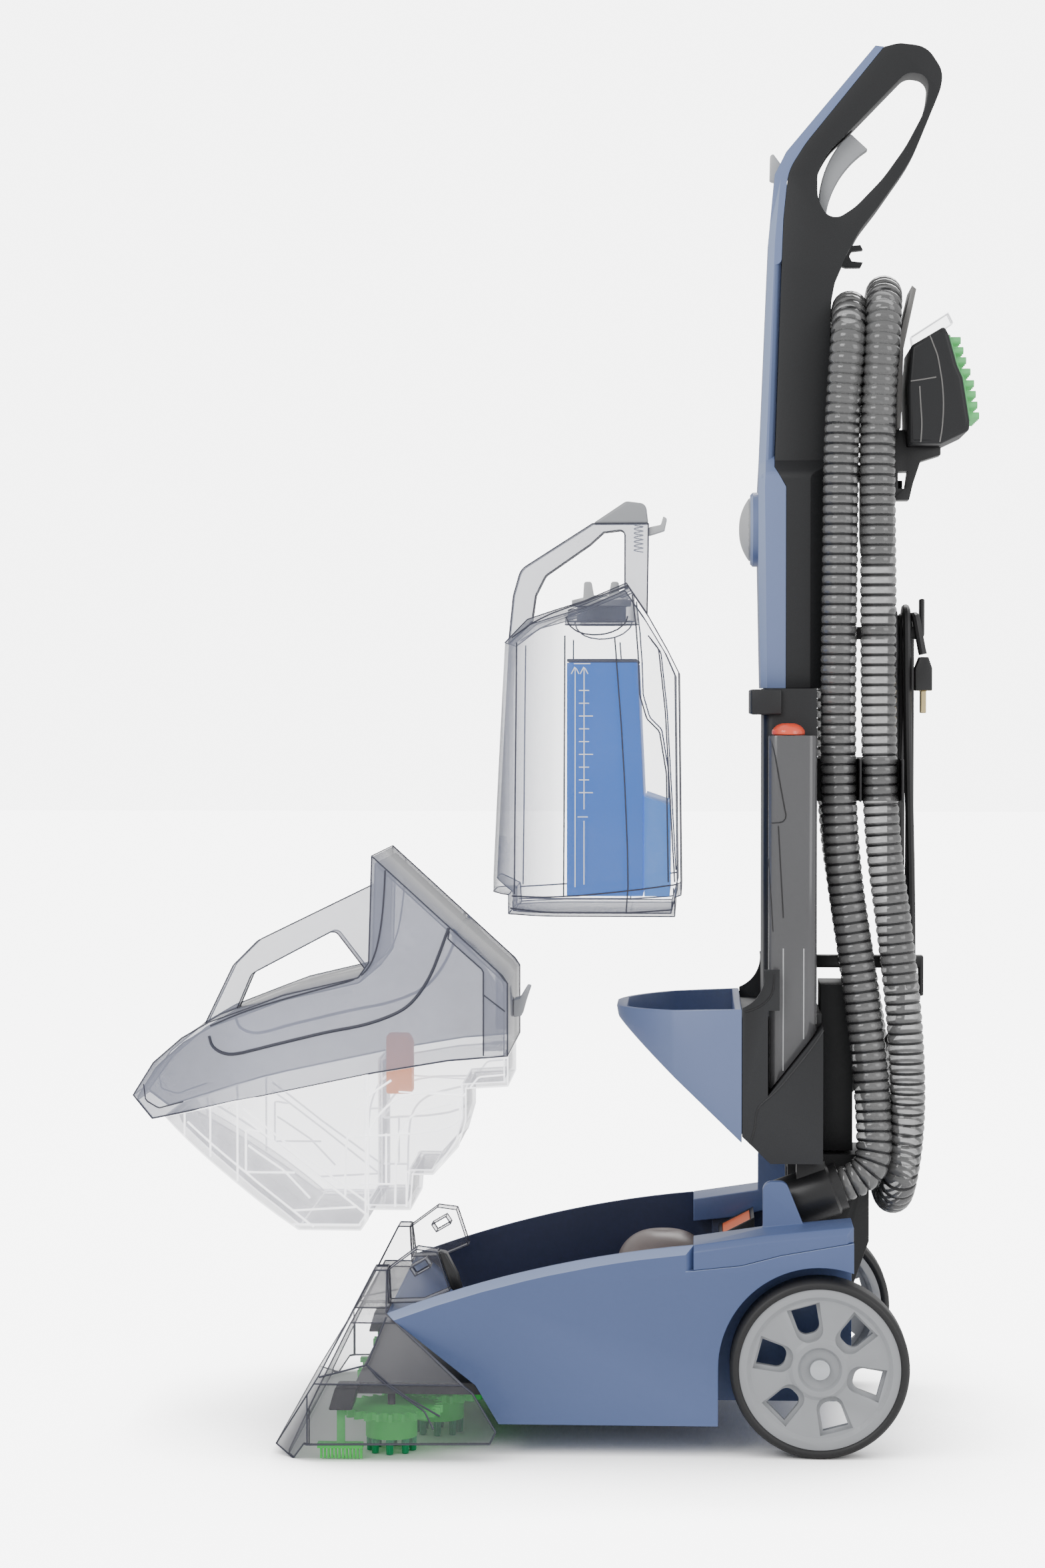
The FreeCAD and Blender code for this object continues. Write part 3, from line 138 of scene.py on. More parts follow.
def moulded_group():
    """Colour, roughness and height of a moulded surface."""
    tree = bpy.data.node_groups.new("MouldedSurface", "ShaderNodeTree")
    colour = tree.interface.new_socket("Colour", in_out="INPUT", socket_type="NodeSocketColor")
    colour.default_value = (0.5, 0.5, 0.5, 1)
    for name, value in (("Drift", 0.1), ("Grain", 900), ("Roughness", 0.4), ("Wear", 0.1)):
        socket = tree.interface.new_socket(name, in_out="INPUT", socket_type="NodeSocketFloat")
        socket.default_value = value
    for name, kind in (("Colour", "NodeSocketColor"), ("Roughness", "NodeSocketFloat"),
                       ("Height", "NodeSocketFloat")):
        tree.interface.new_socket(name, in_out="OUTPUT", socket_type=kind)
    new = tree.nodes.new
    link = tree.links.new
    given, out = new("NodeGroupInput"), new("NodeGroupOutput")
    place = new("ShaderNodeTexCoord")
    broad = new("ShaderNodeTexNoise")
    broad.inputs["Scale"].default_value = 9
    broad.inputs["Detail"].default_value = 4
    fine = new("ShaderNodeTexNoise")
    fine.inputs["Detail"].default_value = 2
    link(place.outputs["Object"], broad.inputs["Vector"])
    link(place.outputs["Object"], fine.inputs["Vector"])
    link(given.outputs["Grain"], fine.inputs["Scale"])
    centred = new("ShaderNodeMath")
    centred.operation = "SUBTRACT"
    centred.inputs[1].default_value = 0.5
    link(broad.outputs["Fac"], centred.inputs[0])
    drift = new("ShaderNodeMath")
    drift.operation = "MULTIPLY_ADD"
    drift.inputs[2].default_value = 1.0
    link(centred.outputs[0], drift.inputs[0])
    link(given.outputs["Drift"], drift.inputs[1])
    tinted = new("ShaderNodeVectorMath")
    tinted.operation = "SCALE"
    link(given.outputs["Colour"], tinted.inputs[0])
    link(drift.outputs[0], tinted.inputs["Scale"])
    shape = new("ShaderNodeNewGeometry")
    edge = new("ShaderNodeMapRange")
    edge.inputs["From Min"].default_value = 0.52
    edge.inputs["From Max"].default_value = 0.62
    link(shape.outputs["Pointiness"], edge.inputs["Value"])
    patchy = new("ShaderNodeMath")
    patchy.operation = "MULTIPLY"
    link(edge.outputs[0], patchy.inputs[0])
    link(given.outputs["Wear"], patchy.inputs[1])
    worn = new("ShaderNodeMix")
    worn.data_type = "RGBA"
    worn.blend_type = "SCREEN"
    link(patchy.outputs[0], worn.inputs["Factor"])
    link(tinted.outputs[0], worn.inputs["A"])
    link(given.outputs["Colour"], worn.inputs["B"])
    rough = new("ShaderNodeMath")
    rough.operation = "MULTIPLY_ADD"
    rough.inputs[1].default_value = 0.22
    link(centred.outputs[0], rough.inputs[0])
    link(given.outputs["Roughness"], rough.inputs[2])
    link(worn.outputs["Result"], out.inputs["Colour"])
    link(rough.outputs[0], out.inputs["Roughness"])
    link(fine.outputs["Fac"], out.inputs["Height"])
    return tree


MOULDED = moulded_group()


def plastic(name, colour, roughness=0.4, drift=0.12, grain=900, bump=0.08, wear=0.25, coat=0.0, metallic=0.0,
            alpha=None, specular=0.5, glow=0.0):
    """A material built on the moulded surface; alpha is (face-on, edge-on, edge colour) for clear plastics; glow
    is painted light.
    """
    made = bpy.data.materials.new(name)
    made.use_nodes = True
    tree = made.node_tree
    shader = tree.nodes["Principled BSDF"]
    surface = tree.nodes.new("ShaderNodeGroup")
    surface.node_tree = MOULDED
    surface.inputs["Colour"].default_value = (*colour, 1)
    surface.inputs["Drift"].default_value = drift
    surface.inputs["Grain"].default_value = grain
    surface.inputs["Roughness"].default_value = roughness
    surface.inputs["Wear"].default_value = wear
    relief = tree.nodes.new("ShaderNodeBump")
    relief.inputs["Strength"].default_value = bump
    relief.inputs["Distance"].default_value = 0.0004
    tree.links.new(surface.outputs["Colour"], shader.inputs["Base Color"])
    tree.links.new(surface.outputs["Roughness"], shader.inputs["Roughness"])
    tree.links.new(surface.outputs["Height"], relief.inputs["Height"])
    tree.links.new(relief.outputs["Normal"], shader.inputs["Normal"])
    shader.inputs["Metallic"].default_value = metallic
    shader.inputs["Coat Weight"].default_value = coat
    shader.inputs["Coat Roughness"].default_value = 0.15
    shader.inputs["Specular IOR Level"].default_value = specular
    # Emission in the plastic's own colour, set by glow: painted light, for no plastic here is a lamp.
    shader.inputs["Emission Color"].default_value = (*colour, 1)
    shader.inputs["Emission Strength"].default_value = glow
    if alpha:
        see_through(tree, shader, surface, alpha)
    return made


def see_through(tree, shader, surface, alpha):
    """Clear plastic: open where it faces the eye, denser and darker where it turns away."""
    facing = tree.nodes.new("ShaderNodeLayerWeight")
    facing.inputs["Blend"].default_value = 0.35
    spread = tree.nodes.new("ShaderNodeMapRange")
    spread.inputs["To Min"].default_value = alpha[0]
    spread.inputs["To Max"].default_value = alpha[1]
    darker = tree.nodes.new("ShaderNodeMix")
    darker.data_type = "RGBA"
    darker.inputs["B"].default_value = (*alpha[2], 1)
    power = tree.nodes.new("ShaderNodeMath")
    power.operation = "POWER"
    power.inputs[1].default_value = 1.6
    tree.links.new(facing.outputs["Facing"], spread.inputs["Value"])
    tree.links.new(facing.outputs["Facing"], power.inputs[0])
    tree.links.new(power.outputs[0], darker.inputs["Factor"])
    tree.links.new(surface.outputs["Colour"], darker.inputs["A"])
    tree.links.new(darker.outputs["Result"], shader.inputs["Base Color"])
    tree.links.new(spread.outputs[0], shader.inputs["Alpha"])


NAVY = (0.035, 0.04, 0.075)
MATERIALS = {
    "blue": plastic("BluePlastic", (0.085, 0.125, 0.27), 0.42, drift=0.10, coat=0.1),
    "pale_blue": plastic("PaleBluePlastic", (0.135, 0.180, 0.335), 0.42, drift=0.10, coat=0.1),
    # Darker blue for the base's inward-facing walls: painted shade.
    "painted_shade_blue": plastic("ShadedBlue", (0.022, 0.032, 0.085), 0.45, drift=0.10),
    # Lighter blue for the base's sloping upper faces and the trim's rear side faces: painted highlight.
    "rim": plastic("BluePaintedHighlight", (0.23, 0.29, 0.46), 0.40, drift=0.08, coat=0.1),
    "charcoal": plastic("CharcoalPlastic", (0.017, 0.0175, 0.019), 0.46, bump=0.12, wear=0.5, specular=0.35),
    "black": plastic("BlackPlastic", (0.013, 0.013, 0.014), 0.36, wear=0.5),
    "grey": plastic("HubGrey", (0.34, 0.35, 0.365), 0.42, drift=0.08),
    "light": plastic("LightGrey", (0.50, 0.51, 0.52), 0.38, drift=0.06),
    "fin": plastic("FinGrey", (0.16, 0.155, 0.15), 0.38, drift=0.15),
    "tyre": plastic("TyreRubber", (0.016, 0.016, 0.017), 0.5, grain=1500, bump=0.25, wear=0.6),
    "steel": plastic("Steel", (0.62, 0.65, 0.68), 0.28, metallic=0.6, grain=2500),
    "motor": plastic("MotorPaint", (0.10, 0.10, 0.105), 0.5),
    "dome": plastic("DomePlastic", (0.22, 0.18, 0.165), 0.38),
    "smoky": plastic("SmokyClear", (0.33, 0.35, 0.45), 0.16, drift=1.1, bump=0.02, coat=0.5,
                     alpha=(0.54, 0.95, NAVY)),
    "hood": plastic("HoodClear", (0.20, 0.20, 0.23), 0.10, drift=0.6, bump=0.02, coat=0.4,
                    alpha=(0.14, 0.85, NAVY)),
    "clear": plastic("ClearPlastic", (0.30, 0.32, 0.42), 0.10, drift=0.5, bump=0.02, coat=0.4,
                     alpha=(0.13, 0.88, NAVY)),
    "milky": plastic("TubClear", (0.70, 0.70, 0.80), 0.14, bump=0.02, coat=0.5,
                     alpha=(0.20, 0.80, (0.50, 0.50, 0.60))),
    "panel": plastic("LidPanel", (0.10, 0.12, 0.22), 0.2, alpha=(0.50, 0.85, NAVY)),
    # Glowing white for the lines on the tub's ribs and the edges of the tool window: painted highlight.
    "rib": plastic("RibPaintedHighlight", (0.92, 0.92, 0.94), 0.25, drift=0.04, glow=2.2),
    "duct": plastic("DuctClear", (0.11, 0.11, 0.115), 0.16, bump=0.03, coat=0.5,
                    alpha=(0.80, 0.98, (0.02, 0.02, 0.02))),
    "hose": plastic("HoseClear", (0.15, 0.15, 0.15), 0.07, bump=0.05, coat=1.0,
                    alpha=(0.74, 0.99, (0.010, 0.010, 0.010))),
    "wire": plastic("HoseWire", (0.012, 0.012, 0.013), 0.30),
    # The bristles glow a little: painted light.
    "green": plastic("GreenBristle", (0.05, 0.52, 0.08), 0.45, glow=0.15, drift=0.4, grain=2500, bump=0.3),
    "deep": plastic("DeepGreenBristle", (0.008, 0.30, 0.11), 0.45, drift=0.5, grain=2500, bump=0.3),
    "mint": plastic("ToolBristle", (0.14, 0.62, 0.20), 0.45, drift=0.5, grain=2500, bump=0.3),
    # The float glows: painted light.
    "orange": plastic("OrangePlastic", (0.90, 0.24, 0.03), 0.35, glow=0.8),
    "rust": plastic("FilterFoam", (0.75, 0.13, 0.04), 0.6, drift=0.5, bump=0.6),
    "red": plastic("RedCap", (0.85, 0.09, 0.04), 0.22, coat=0.5),
    # Both liquids glow: painted light.
    "liquid": plastic("CleaningLiquid", (0.002, 0.13, 0.55), 0.12, bump=0.0, drift=0.35, glow=0.7,
                      alpha=(0.97, 0.99, (0.004, 0.06, 0.36))),
    "pale_liquid": plastic("ThinLiquid", (0.03, 0.20, 0.62), 0.12, bump=0.0, drift=0.3, glow=0.7,
                           alpha=(0.90, 0.97, (0.02, 0.10, 0.40))),
    # Dark seams, and the dark lines of painted shade along edges of clear walls seen edge-on.
    "seam_and_edge_shade": plastic("DarkSeamAndEdgeShade", (0.035, 0.037, 0.055), 0.4),
    "paint": plastic("WhiteMarks", (0.90, 0.92, 0.95), 0.5, drift=0.03),
    "cord": plastic("CordVinyl", (0.016, 0.016, 0.017), 0.42, grain=1800, bump=0.2),
    "brass": plastic("PlugBrass", (0.62, 0.50, 0.26), 0.22, metallic=1.0),
}
print(len(MATERIALS), "materials")

# %% [markdown]
# ## Dressing the CAD pieces
# A copy of each CAD mesh is merged, its flat faces are joined again, and a Bevel modifier rounds its edges.
# The copy stands for the node and rides on the same body.
# %%
# Helpers: finished meshes, rounded copies


def finished(name, mesh, material, body, modifiers=()):
    """A mesh object with its modifiers applied, smooth-shaded between sharp edges, riding on a body."""
    obj = bpy.data.objects.new(name, mesh)
    scene.collection.objects.link(obj)
    for kind, settings in modifiers:
        made = obj.modifiers.new(kind.title(), kind)
        for key, value in settings.items():
            setattr(made, key, value)
    if modifiers:
        applied = bpy.data.meshes.new_from_object(obj.evaluated_get(bpy.context.evaluated_depsgraph_get()))
        obj.modifiers.clear()
        obj.data = applied
        applied.name = name
    for face in obj.data.polygons:
        face.use_smooth = True
    obj.data.set_sharp_from_angle(angle=math.radians(32))
    obj.data.materials.clear()
    obj.data.materials.append(MATERIALS[material])
    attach(obj, body)
    return obj


def merged(node):
    """A copy of a CAD mesh with its corners merged and its flat faces joined."""
    mesh = nodes[node].data.copy()
    work = bmesh.new()
    work.from_mesh(mesh)
    bmesh.ops.remove_doubles(work, verts=work.verts, dist=2e-6)
    bmesh.ops.dissolve_limit(work, angle_limit=math.radians(1.0), verts=work.verts, edges=work.edges,
                             delimit={"NORMAL"})
    work.to_mesh(mesh)
    work.free()
    return mesh


def dressed(node, material, width=1.0, segments=2, angle=28):
    """A rounded copy of a CAD node, shown in its stead."""
    bevel = ("BEVEL", {"width": width / 1000, "segments": segments, "limit_method": "ANGLE",
                       "angle_limit": math.radians(angle), "harden_normals": False, "use_clamp_overlap": True})
    obj = finished(node + "_dressed", merged(node), material, body_of[node], [bevel])
    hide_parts(node)
    return obj


DRESS = {
    "base_shell": ("blue", 1.6, 3), "shoulder_covers": ("blue", 1.4, 3), "tray": ("pale_blue", 1.0, 2),
    "handle_trim": ("pale_blue", 1.6, 3), "column": ("charcoal", 1.6, 3), "handle_shell": ("charcoal", 2.4, 3),
    "rear_housing": ("charcoal", 1.5, 2), "latch_collar": ("charcoal", 1.2, 2),
    "pivot_yoke": ("charcoal", 1.5, 2), "tool_body": ("charcoal", 2.2, 3), "hose_port": ("black", 1.0, 2),
    "hose_clips": ("black", 0.8, 2), "cord_hooks": ("black", 1.2, 2), "hose_guard": ("charcoal", 0.8, 2),
    "tool_holder": ("black", 1.2, 2), "hose_connector": ("black", 1.0, 2), "brush_deck": ("black", 0.8, 1),
    "spray_nozzles": ("black", 1.2, 2), "latch_towers": ("hood", 2.0, 3), "nozzle_latch": ("black", 1.5, 2),
    "filter_box": ("charcoal", 0.8, 2), "pump": ("black", 1.2, 2), "mains_plug": ("black", 1.2, 2),
    "hub_right": ("grey", 0.9, 2), "hub_left": ("grey", 0.9, 2), "axle_caps": ("steel", 0.8, 2),
    "clean_grip": ("grey", 2.4, 3), "trigger": ("grey", 1.4, 3), "mode_dial": ("grey", 0.6, 1),
    "tank_cap": ("light", 0.8, 2), "thumb_lever": ("light", 1.2, 3), "tank_hook": ("light", 0.9, 2),
    "recovery_latch": ("light", 1.0, 2), "impeller": ("light", 0.3, 1), "axle": ("steel", 0.5, 1),
    "suction_motor": ("motor", 1.0, 2), "motor_cover": ("dome", 0.8, 1), "nozzle_hood": ("hood", 1.4, 3),
    "recovery_lid": ("smoky", 2.2, 3), "recovery_handle": ("smoky", 2.4, 3), "side_duct": ("duct", 1.2, 2),
    "clean_tank": ("clear", 2.2, 3), "clean_handle": ("smoky", 2.0, 3), "recovery_tub": ("milky", 2.2, 3),
    "tool_window": ("clear", 1.2, 2), "filter_screen": ("rust", 0.5, 1), "recovery_float": ("orange", 2.0, 3),
    "duct_cap": ("red", 0.5, 1), "tyre_right": ("tyre", 1.5, 3), "tyre_left": ("tyre", 1.5, 3),
    "edge_combs": ("green", 0.2, 1), "brush_1": ("green", 0.3, 1), "brush_2": ("green", 0.3, 1),
    "brush_3": ("green", 0.3, 1), "brush_4": ("green", 0.3, 1), "brush_5": ("green", 0.3, 1),
    "tool_bristles": ("mint", 0.3, 1),
}
worn_by = {}
for node, (material, width, segments) in DRESS.items():
    worn_by[node] = dressed(node, material, width, segments)
print(len(DRESS), "CAD pieces dressed")


def second_material(obj, material, chosen):
    """Give another material to the faces that the test picks by their centre and normal."""
    obj.data.materials.append(MATERIALS[material])
    picked = [face for face in obj.data.polygons if chosen(face.center, face.normal)]
    for face in picked:
        face.material_index = len(obj.data.materials) - 1
    return len(picked)


for number in range(1, 6):
    second_material(worn_by[f"brush_{number}"], "deep", lambda c, n: c.z < 0.0119)
    second_material(worn_by[f"brush_{number}"], "black", lambda c, n: c.z > 0.0365)
second_material(worn_by["mains_plug"], "brass", lambda c, n: c.z < 0.5905)
second_material(worn_by["hose_guard"], "fin", lambda c, n: c.x > AXLE_X + 0.0635)
# Lighter blue on the base's sloping upper faces: painted highlight.
second_material(worn_by["base_shell"], "rim", lambda c, n: 0.2 < n.z < 0.97 and abs(c.y) > 0.13)
# Darker blue on the base's inward-facing walls: painted shade.
second_material(worn_by["base_shell"], "painted_shade_blue", lambda c, n: n.y * c.y < 0 and abs(n.y) > 0.7 and abs(c.y) > 0.1)
# Lighter blue on the trim's faces that turn back and sideways: painted highlight.
second_material(worn_by["handle_trim"], "rim", lambda c, n: n.x < -0.3 and abs(n.y) > 0.3)
second_material(worn_by["mode_dial"], "light", lambda c, n: c.x < AXLE_X - 0.0535)

# %% [markdown]
# ## The ribbed hose
# The tube's radius swells once per ring and is narrow in the valleys between them.
# %%
# A swept tube with a radius that changes along it
HOSE_RADIUS = 0.0145
RIB_PITCH = 0.0079


def even_points(line, step):
    """Points at equal steps along a polyline."""
    made, left = [line[0].copy()], step
    for a, b in zip(line, line[1:]):
        run = (b - a).length
        while run >= left:
            a = a + (b - a).normalized() * left
            made.append(a.copy())
            run, left = (b - a).length, step
        left -= run
    return made


def tube(work, line, radius_at, sides):
    """Add a closed tube round a line to a mesh; its radius is a function of the distance along it."""
    rings, far, side = [], 0.0, None
    for i, here in enumerate(line):
        ahead = (line[min(i + 1, len(line) - 1)] - line[max(i - 1, 0)]).normalized()
        side = ahead.orthogonal() if side is None else side - ahead * side.dot(ahead)
        side.normalize()
        other = ahead.cross(side)
        if i:
            far += (here - line[i - 1]).length
        radius = radius_at(far)
        rings.append([work.verts.new(here + radius * (side * math.cos(t) + other * math.sin(t)))
                      for t in (math.tau * k / sides for k in range(sides))])
    for one, two in zip(rings, rings[1:]):
        for k in range(sides):
            work.faces.new((one[k], one[(k + 1) % sides], two[(k + 1) % sides], two[k]))
    work.faces.new(rings[0][::-1])
    work.faces.new(rings[-1])


def made_of(name, build, material, body, modifiers=()):
    """A finished piece whose faces are added by a function and then turned outwards."""
    mesh = bpy.data.meshes.new(name)
    work = bmesh.new()
    build(work)
    bmesh.ops.recalc_face_normals(work, faces=work.faces)
    work.to_mesh(mesh)
    work.free()
    return finished(name, mesh, material, body, modifiers)


def sweep(name, line, radius_at, sides, material, body):
    """One tube as a piece of its own."""
    return made_of(name, lambda work: tube(work, line, radius_at, sides), material, body)


def rib(far):
    """Radius of the hose: broad rounded rings with a narrow valley between them."""
    phase = (far / RIB_PITCH) % 1
    return HOSE_RADIUS - 0.0019 * (1 - math.sin(math.pi * phase) ** 0.55)


hose_points = even_points(hose_line, RIB_PITCH / 6)
hose = sweep("suction_hose", hose_points, rib, 20, "hose", "upright")
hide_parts("hose")
print("hose faces:", len(hose.data.polygons))

# %% [markdown]
# ## Hose wire
# Geometry Nodes set one dark ring in every valley: the curve is resampled at the ring pitch, a thin torus
# stands on each point, and the copies become one mesh.
# %%
# Short helpers for node trees, and the ring tree


def put(tree, kind, inputs=None, **settings):
    """Add a node; an input is a constant or the socket to be linked."""
    made = tree.nodes.new(kind)
    for key, value in settings.items():
        setattr(made, key, value)
    for key, value in (inputs or {}).items():
        if isinstance(value, bpy.types.NodeSocket):
            tree.links.new(value, made.inputs[key])
        else:
            made.inputs[key].default_value = value
    return made


def node_tree(name, sizes):
    """An empty geometry tree with a geometry input, the named sizes and a material."""
    tree = bpy.data.node_groups.new(name, "GeometryNodeTree")
    tree.interface.new_socket("Geometry", in_out="INPUT", socket_type="NodeSocketGeometry")
    for size_name, value in sizes.items():
        kind = "NodeSocketInt" if isinstance(value, int) else "NodeSocketFloat"
        tree.interface.new_socket(size_name, in_out="INPUT", socket_type=kind).default_value = value
    tree.interface.new_socket("Material", in_out="INPUT", socket_type="NodeSocketMaterial")
    tree.interface.new_socket("Geometry", in_out="OUTPUT", socket_type="NodeSocketGeometry")
    return tree, tree.nodes.new("NodeGroupInput").outputs, tree.nodes.new("NodeGroupOutput").inputs


def ending(tree, given, out, instances):
    """Every tree ends alike: real geometry with its material."""
    real = put(tree, "GeometryNodeRealizeInstances", {"Geometry": instances})
    painted = put(tree, "GeometryNodeSetMaterial", {"Geometry": real.outputs[0], "Material": given["Material"]})
    tree.links.new(painted.outputs[0], out["Geometry"])
    return tree


def ring_tree():
    """Thin rings at even steps along a curve."""
    tree, given, out = node_tree("HoseRings",
                                 {"Pitch": RIB_PITCH, "Ring radius": 0.0128, "Wire radius": 0.0013})
    along = put(tree, "GeometryNodeInputTangent")
    kept = put(tree, "GeometryNodeCaptureAttribute", {"Geometry": given["Geometry"]})
    kept.capture_items.new("VECTOR", "Tangent")
    tree.links.new(along.outputs[0], kept.inputs["Tangent"])
    points = put(tree, "GeometryNodeCurveToPoints",
                 {"Curve": kept.outputs["Geometry"], "Length": given["Pitch"]}, mode="LENGTH")
    round_line = put(tree, "GeometryNodeCurvePrimitiveCircle",
                     {"Resolution": 20, "Radius": given["Ring radius"]})
    section = put(tree, "GeometryNodeCurvePrimitiveCircle", {"Resolution": 5, "Radius": given["Wire radius"]})
    ring = put(tree, "GeometryNodeCurveToMesh",
               {"Curve": round_line.outputs[0], "Profile Curve": section.outputs[0]})
    turn = put(tree, "FunctionNodeAlignRotationToVector", {"Vector": kept.outputs["Tangent"]}, axis="Z")
    rings = put(tree, "GeometryNodeInstanceOnPoints",
                {"Points": points.outputs[0], "Instance": ring.outputs[0], "Rotation": turn.outputs[0]})
    return ending(tree, given, out, rings.outputs[0])


def grown(name, base, tree, material, body, **sizes):
    """Run a tree on a base object, keep the mesh it makes and remove the base."""
    made = base.modifiers.new("tree", "NODES")
    made.node_group = tree
    for item in tree.interface.items_tree:
        if item.in_out == "INPUT" and item.name in sizes:
            made[item.identifier] = sizes[item.name]
        if item.in_out == "INPUT" and item.name == "Material":
            made[item.identifier] = MATERIALS[material]
    mesh = bpy.data.meshes.new_from_object(base.evaluated_get(bpy.context.evaluated_depsgraph_get()))
    bpy.data.objects.remove(base)
    mesh.name = name
    return finished(name, mesh, material, body)


rings = grown("hose_rings", route_curve("hose_route", HOSE_ROUTE), ring_tree(), "wire", "upright")
print("rings:", len(rings.data.polygons), "faces")

# %% [markdown]
# ## The mains cord
# One spline runs from the gland through three and a half turns round the hooks to the plug.  A turn is a closed
# track of two straight sides and two half circles; `TURNS` says how far out and how far back the cord lies at
# each part of a turn, so that the strands lie beside each other and never cross.
# %%
# The cord's route
LOW_CENTRE, HIGH_CENTRE = 370, 638
TURNS = [(0.00, 70, 11.7), (0.60, 70, 11.7), (0.88, 62.8, 11.7), (1.40, 62.8, 11.7), (1.60, 62.8, 19),
         (2.06, 62.8, 19), (2.42, 73, 19), (2.60, 73, 19), (2.90, 77.4, 19), (3.06, 77.4, 19),
         (3.24, 77.4, 11.7), (3.50, 77.4, 11.7)]
STOPS = [0.0, 0.03, 0.06, 0.09, 0.15, 0.24, 0.33, 0.41, 0.44, 0.47, 0.5, 0.53, 0.56, 0.59, 0.67, 0.76,
         0.85, 0.91, 0.94, 0.97]


def on_track(phase, radius):
    """Across and up at a share of one turn that starts at the bottom and rises on the far side."""
    part = phase % 1
    if part < 0.09 or part >= 0.91:
        angle = math.pi / 2 * ((part + 1) % 1 / 0.09 if part < 0.09 else (part - 1) / 0.09)
        return radius * math.sin(angle), LOW_CENTRE - radius * math.cos(angle)
    if 0.41 <= part < 0.59:
        angle = math.pi * (part - 0.41) / 0.18
        return radius * math.cos(angle), HIGH_CENTRE + radius * math.sin(angle)
    share = (part - 0.09) / 0.32 if part < 0.41 else (0.91 - part) / 0.32
    return radius if part < 0.41 else -radius, LOW_CENTRE + share * (HIGH_CENTRE - LOW_CENTRE)


def between_turns(phase):
    """How far back and how far out the cord lies at a phase."""
    for (p0, x0, r0), (p1, x1, r1) in zip(TURNS, TURNS[1:]):
        if p0 <= phase <= p1:
            share = (phase - p0) / (p1 - p0)
            share = share * share * (3 - 2 * share)
            return x0 + share * (x1 - x0), r0 + share * (r1 - r0)


def wound():
    """Control points of all the turns."""
    made = []
    for number in range(4):
        for stop in STOPS:
            phase = number + stop
            if phase <= 3.5:
                back, radius = between_turns(phase)
                across, up = on_track(phase, radius)
                made.append((back, across, up))
    return made


CORD_ROUTE = LEAD_ROUTE[:-1] + [(70, 0, 340)] + wound() + [(79.3, -8, 649.5)] + TAIL_ROUTE
cord_line, cord_length = line_of(CORD_ROUTE)
cord_points = even_points(cord_line, 0.003)
cord = sweep("mains_cord", cord_points, lambda far: 0.0035, 10, "cord", "upright")
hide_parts("power_cord", "cord_hank")
print(f"cord {cord_length:.3f} m, {len(cord_points)} points")

# %% [markdown]
# ## Painted dark edges and painted highlights of the clear plastics
# Clear plastic looks dark where its wall is seen edge-on, and dark lines paint that shade.  Geometry Nodes find
# every edge that is sharper than a set angle and lay a thin line along it.  The tub's edges and the tool's get
# glowing white lines of painted highlight instead.
# %%
# The edge-line tree, run on a merged copy of each clear piece


def edge_tree():
    """A thin line along every edge sharper than an angle."""
    tree, given, out = node_tree("EdgeLines", {"Angle": 0.6, "Line radius": 0.0005})
    bend = put(tree, "GeometryNodeInputMeshEdgeAngle")
    sharp = put(tree, "FunctionNodeCompare", {0: bend.outputs["Unsigned Angle"], 1: given["Angle"]},
                operation="GREATER_THAN")
    lines = put(tree, "GeometryNodeMeshToCurve", {"Mesh": given["Geometry"], "Selection": sharp.outputs[0]})
    section = put(tree, "GeometryNodeCurvePrimitiveCircle", {"Resolution": 5, "Radius": given["Line radius"]})
    drawn = put(tree, "GeometryNodeCurveToMesh",
                {"Curve": lines.outputs[0], "Profile Curve": section.outputs[0], "Fill Caps": True})
    return ending(tree, given, out, drawn.outputs[0])


EDGE_TREE = edge_tree()


def edge_lines(node, radius, material, angle=35):
    """Thin lines along a node's sharp edges."""
    base = bpy.data.objects.new(node + "_base", merged(node))
    scene.collection.objects.link(base)
    return grown(node + "_edges", base, EDGE_TREE, material, body_of[node],
                 **{"Angle": math.radians(angle), "Line radius": radius / 1000})


# Dark lines of painted shade along the clear pieces' edges; on the tub and the tool window, glowing white lines
# of painted highlight.
EDGED = {"recovery_lid": (0.55, "seam_and_edge_shade"), "recovery_handle": (0.45, "seam_and_edge_shade"), "clean_tank": (0.5, "seam_and_edge_shade"),
         "clean_handle": (0.45, "seam_and_edge_shade"), "nozzle_hood": (0.6, "seam_and_edge_shade"), "latch_towers": (0.5, "seam_and_edge_shade"),
         "recovery_tub": (0.6, "rib"), "tool_window": (0.3, "rib")}
for node, (radius, material) in EDGED.items():
    lines = edge_lines(node, radius, material)
    print(lines.name, len(lines.data.polygons), "faces")

# %% [markdown]
# ## Lines that follow a surface
# Seams, ribs and marks are thin tubes.  Each point is dropped sideways onto the CAD surface, so that a line
# stays on its wall whatever the wall's shape.
# %%
# The drop, the rounding of corners and the line pieces


def surface_of(node):
    """A search tree over a node's surface."""
    mesh = nodes[node].data
    return BVHTree.FromPolygons([v.co for v in mesh.vertices], [list(p.vertices) for p in mesh.polygons])


def eased(points, rounds):
    """Corners of an open line cut off again and again."""
    for _ in range(rounds):
        kept = [points[0]]
        for (x0, z0), (x1, z1) in zip(points, points[1:]):
            kept += [(0.75 * x0 + 0.25 * x1, 0.75 * z0 + 0.25 * z1),
                     (0.25 * x0 + 0.75 * x1, 0.25 * z0 + 0.75 * z1)]
        points = kept + [points[-1]]
    return points


def dropped(surface, points, side):
    """The parts of a line that meet a surface when it is dropped from one side of the machine."""
    ends = [at(x, side * 400, z) for x, z in points]
    close = even_points(ends, 0.003) + [ends[-1]]
    runs = [[]]
    for start in close:
        hit = surface.ray_cast(start, Vector((0, -side, 0)))[0]
        if hit is None:
            runs.append([])
        elif not runs[-1] or (hit - runs[-1][-1]).length > 1e-5:
            runs[-1].append(hit)
    return [run for run in runs if len(run) > 1]


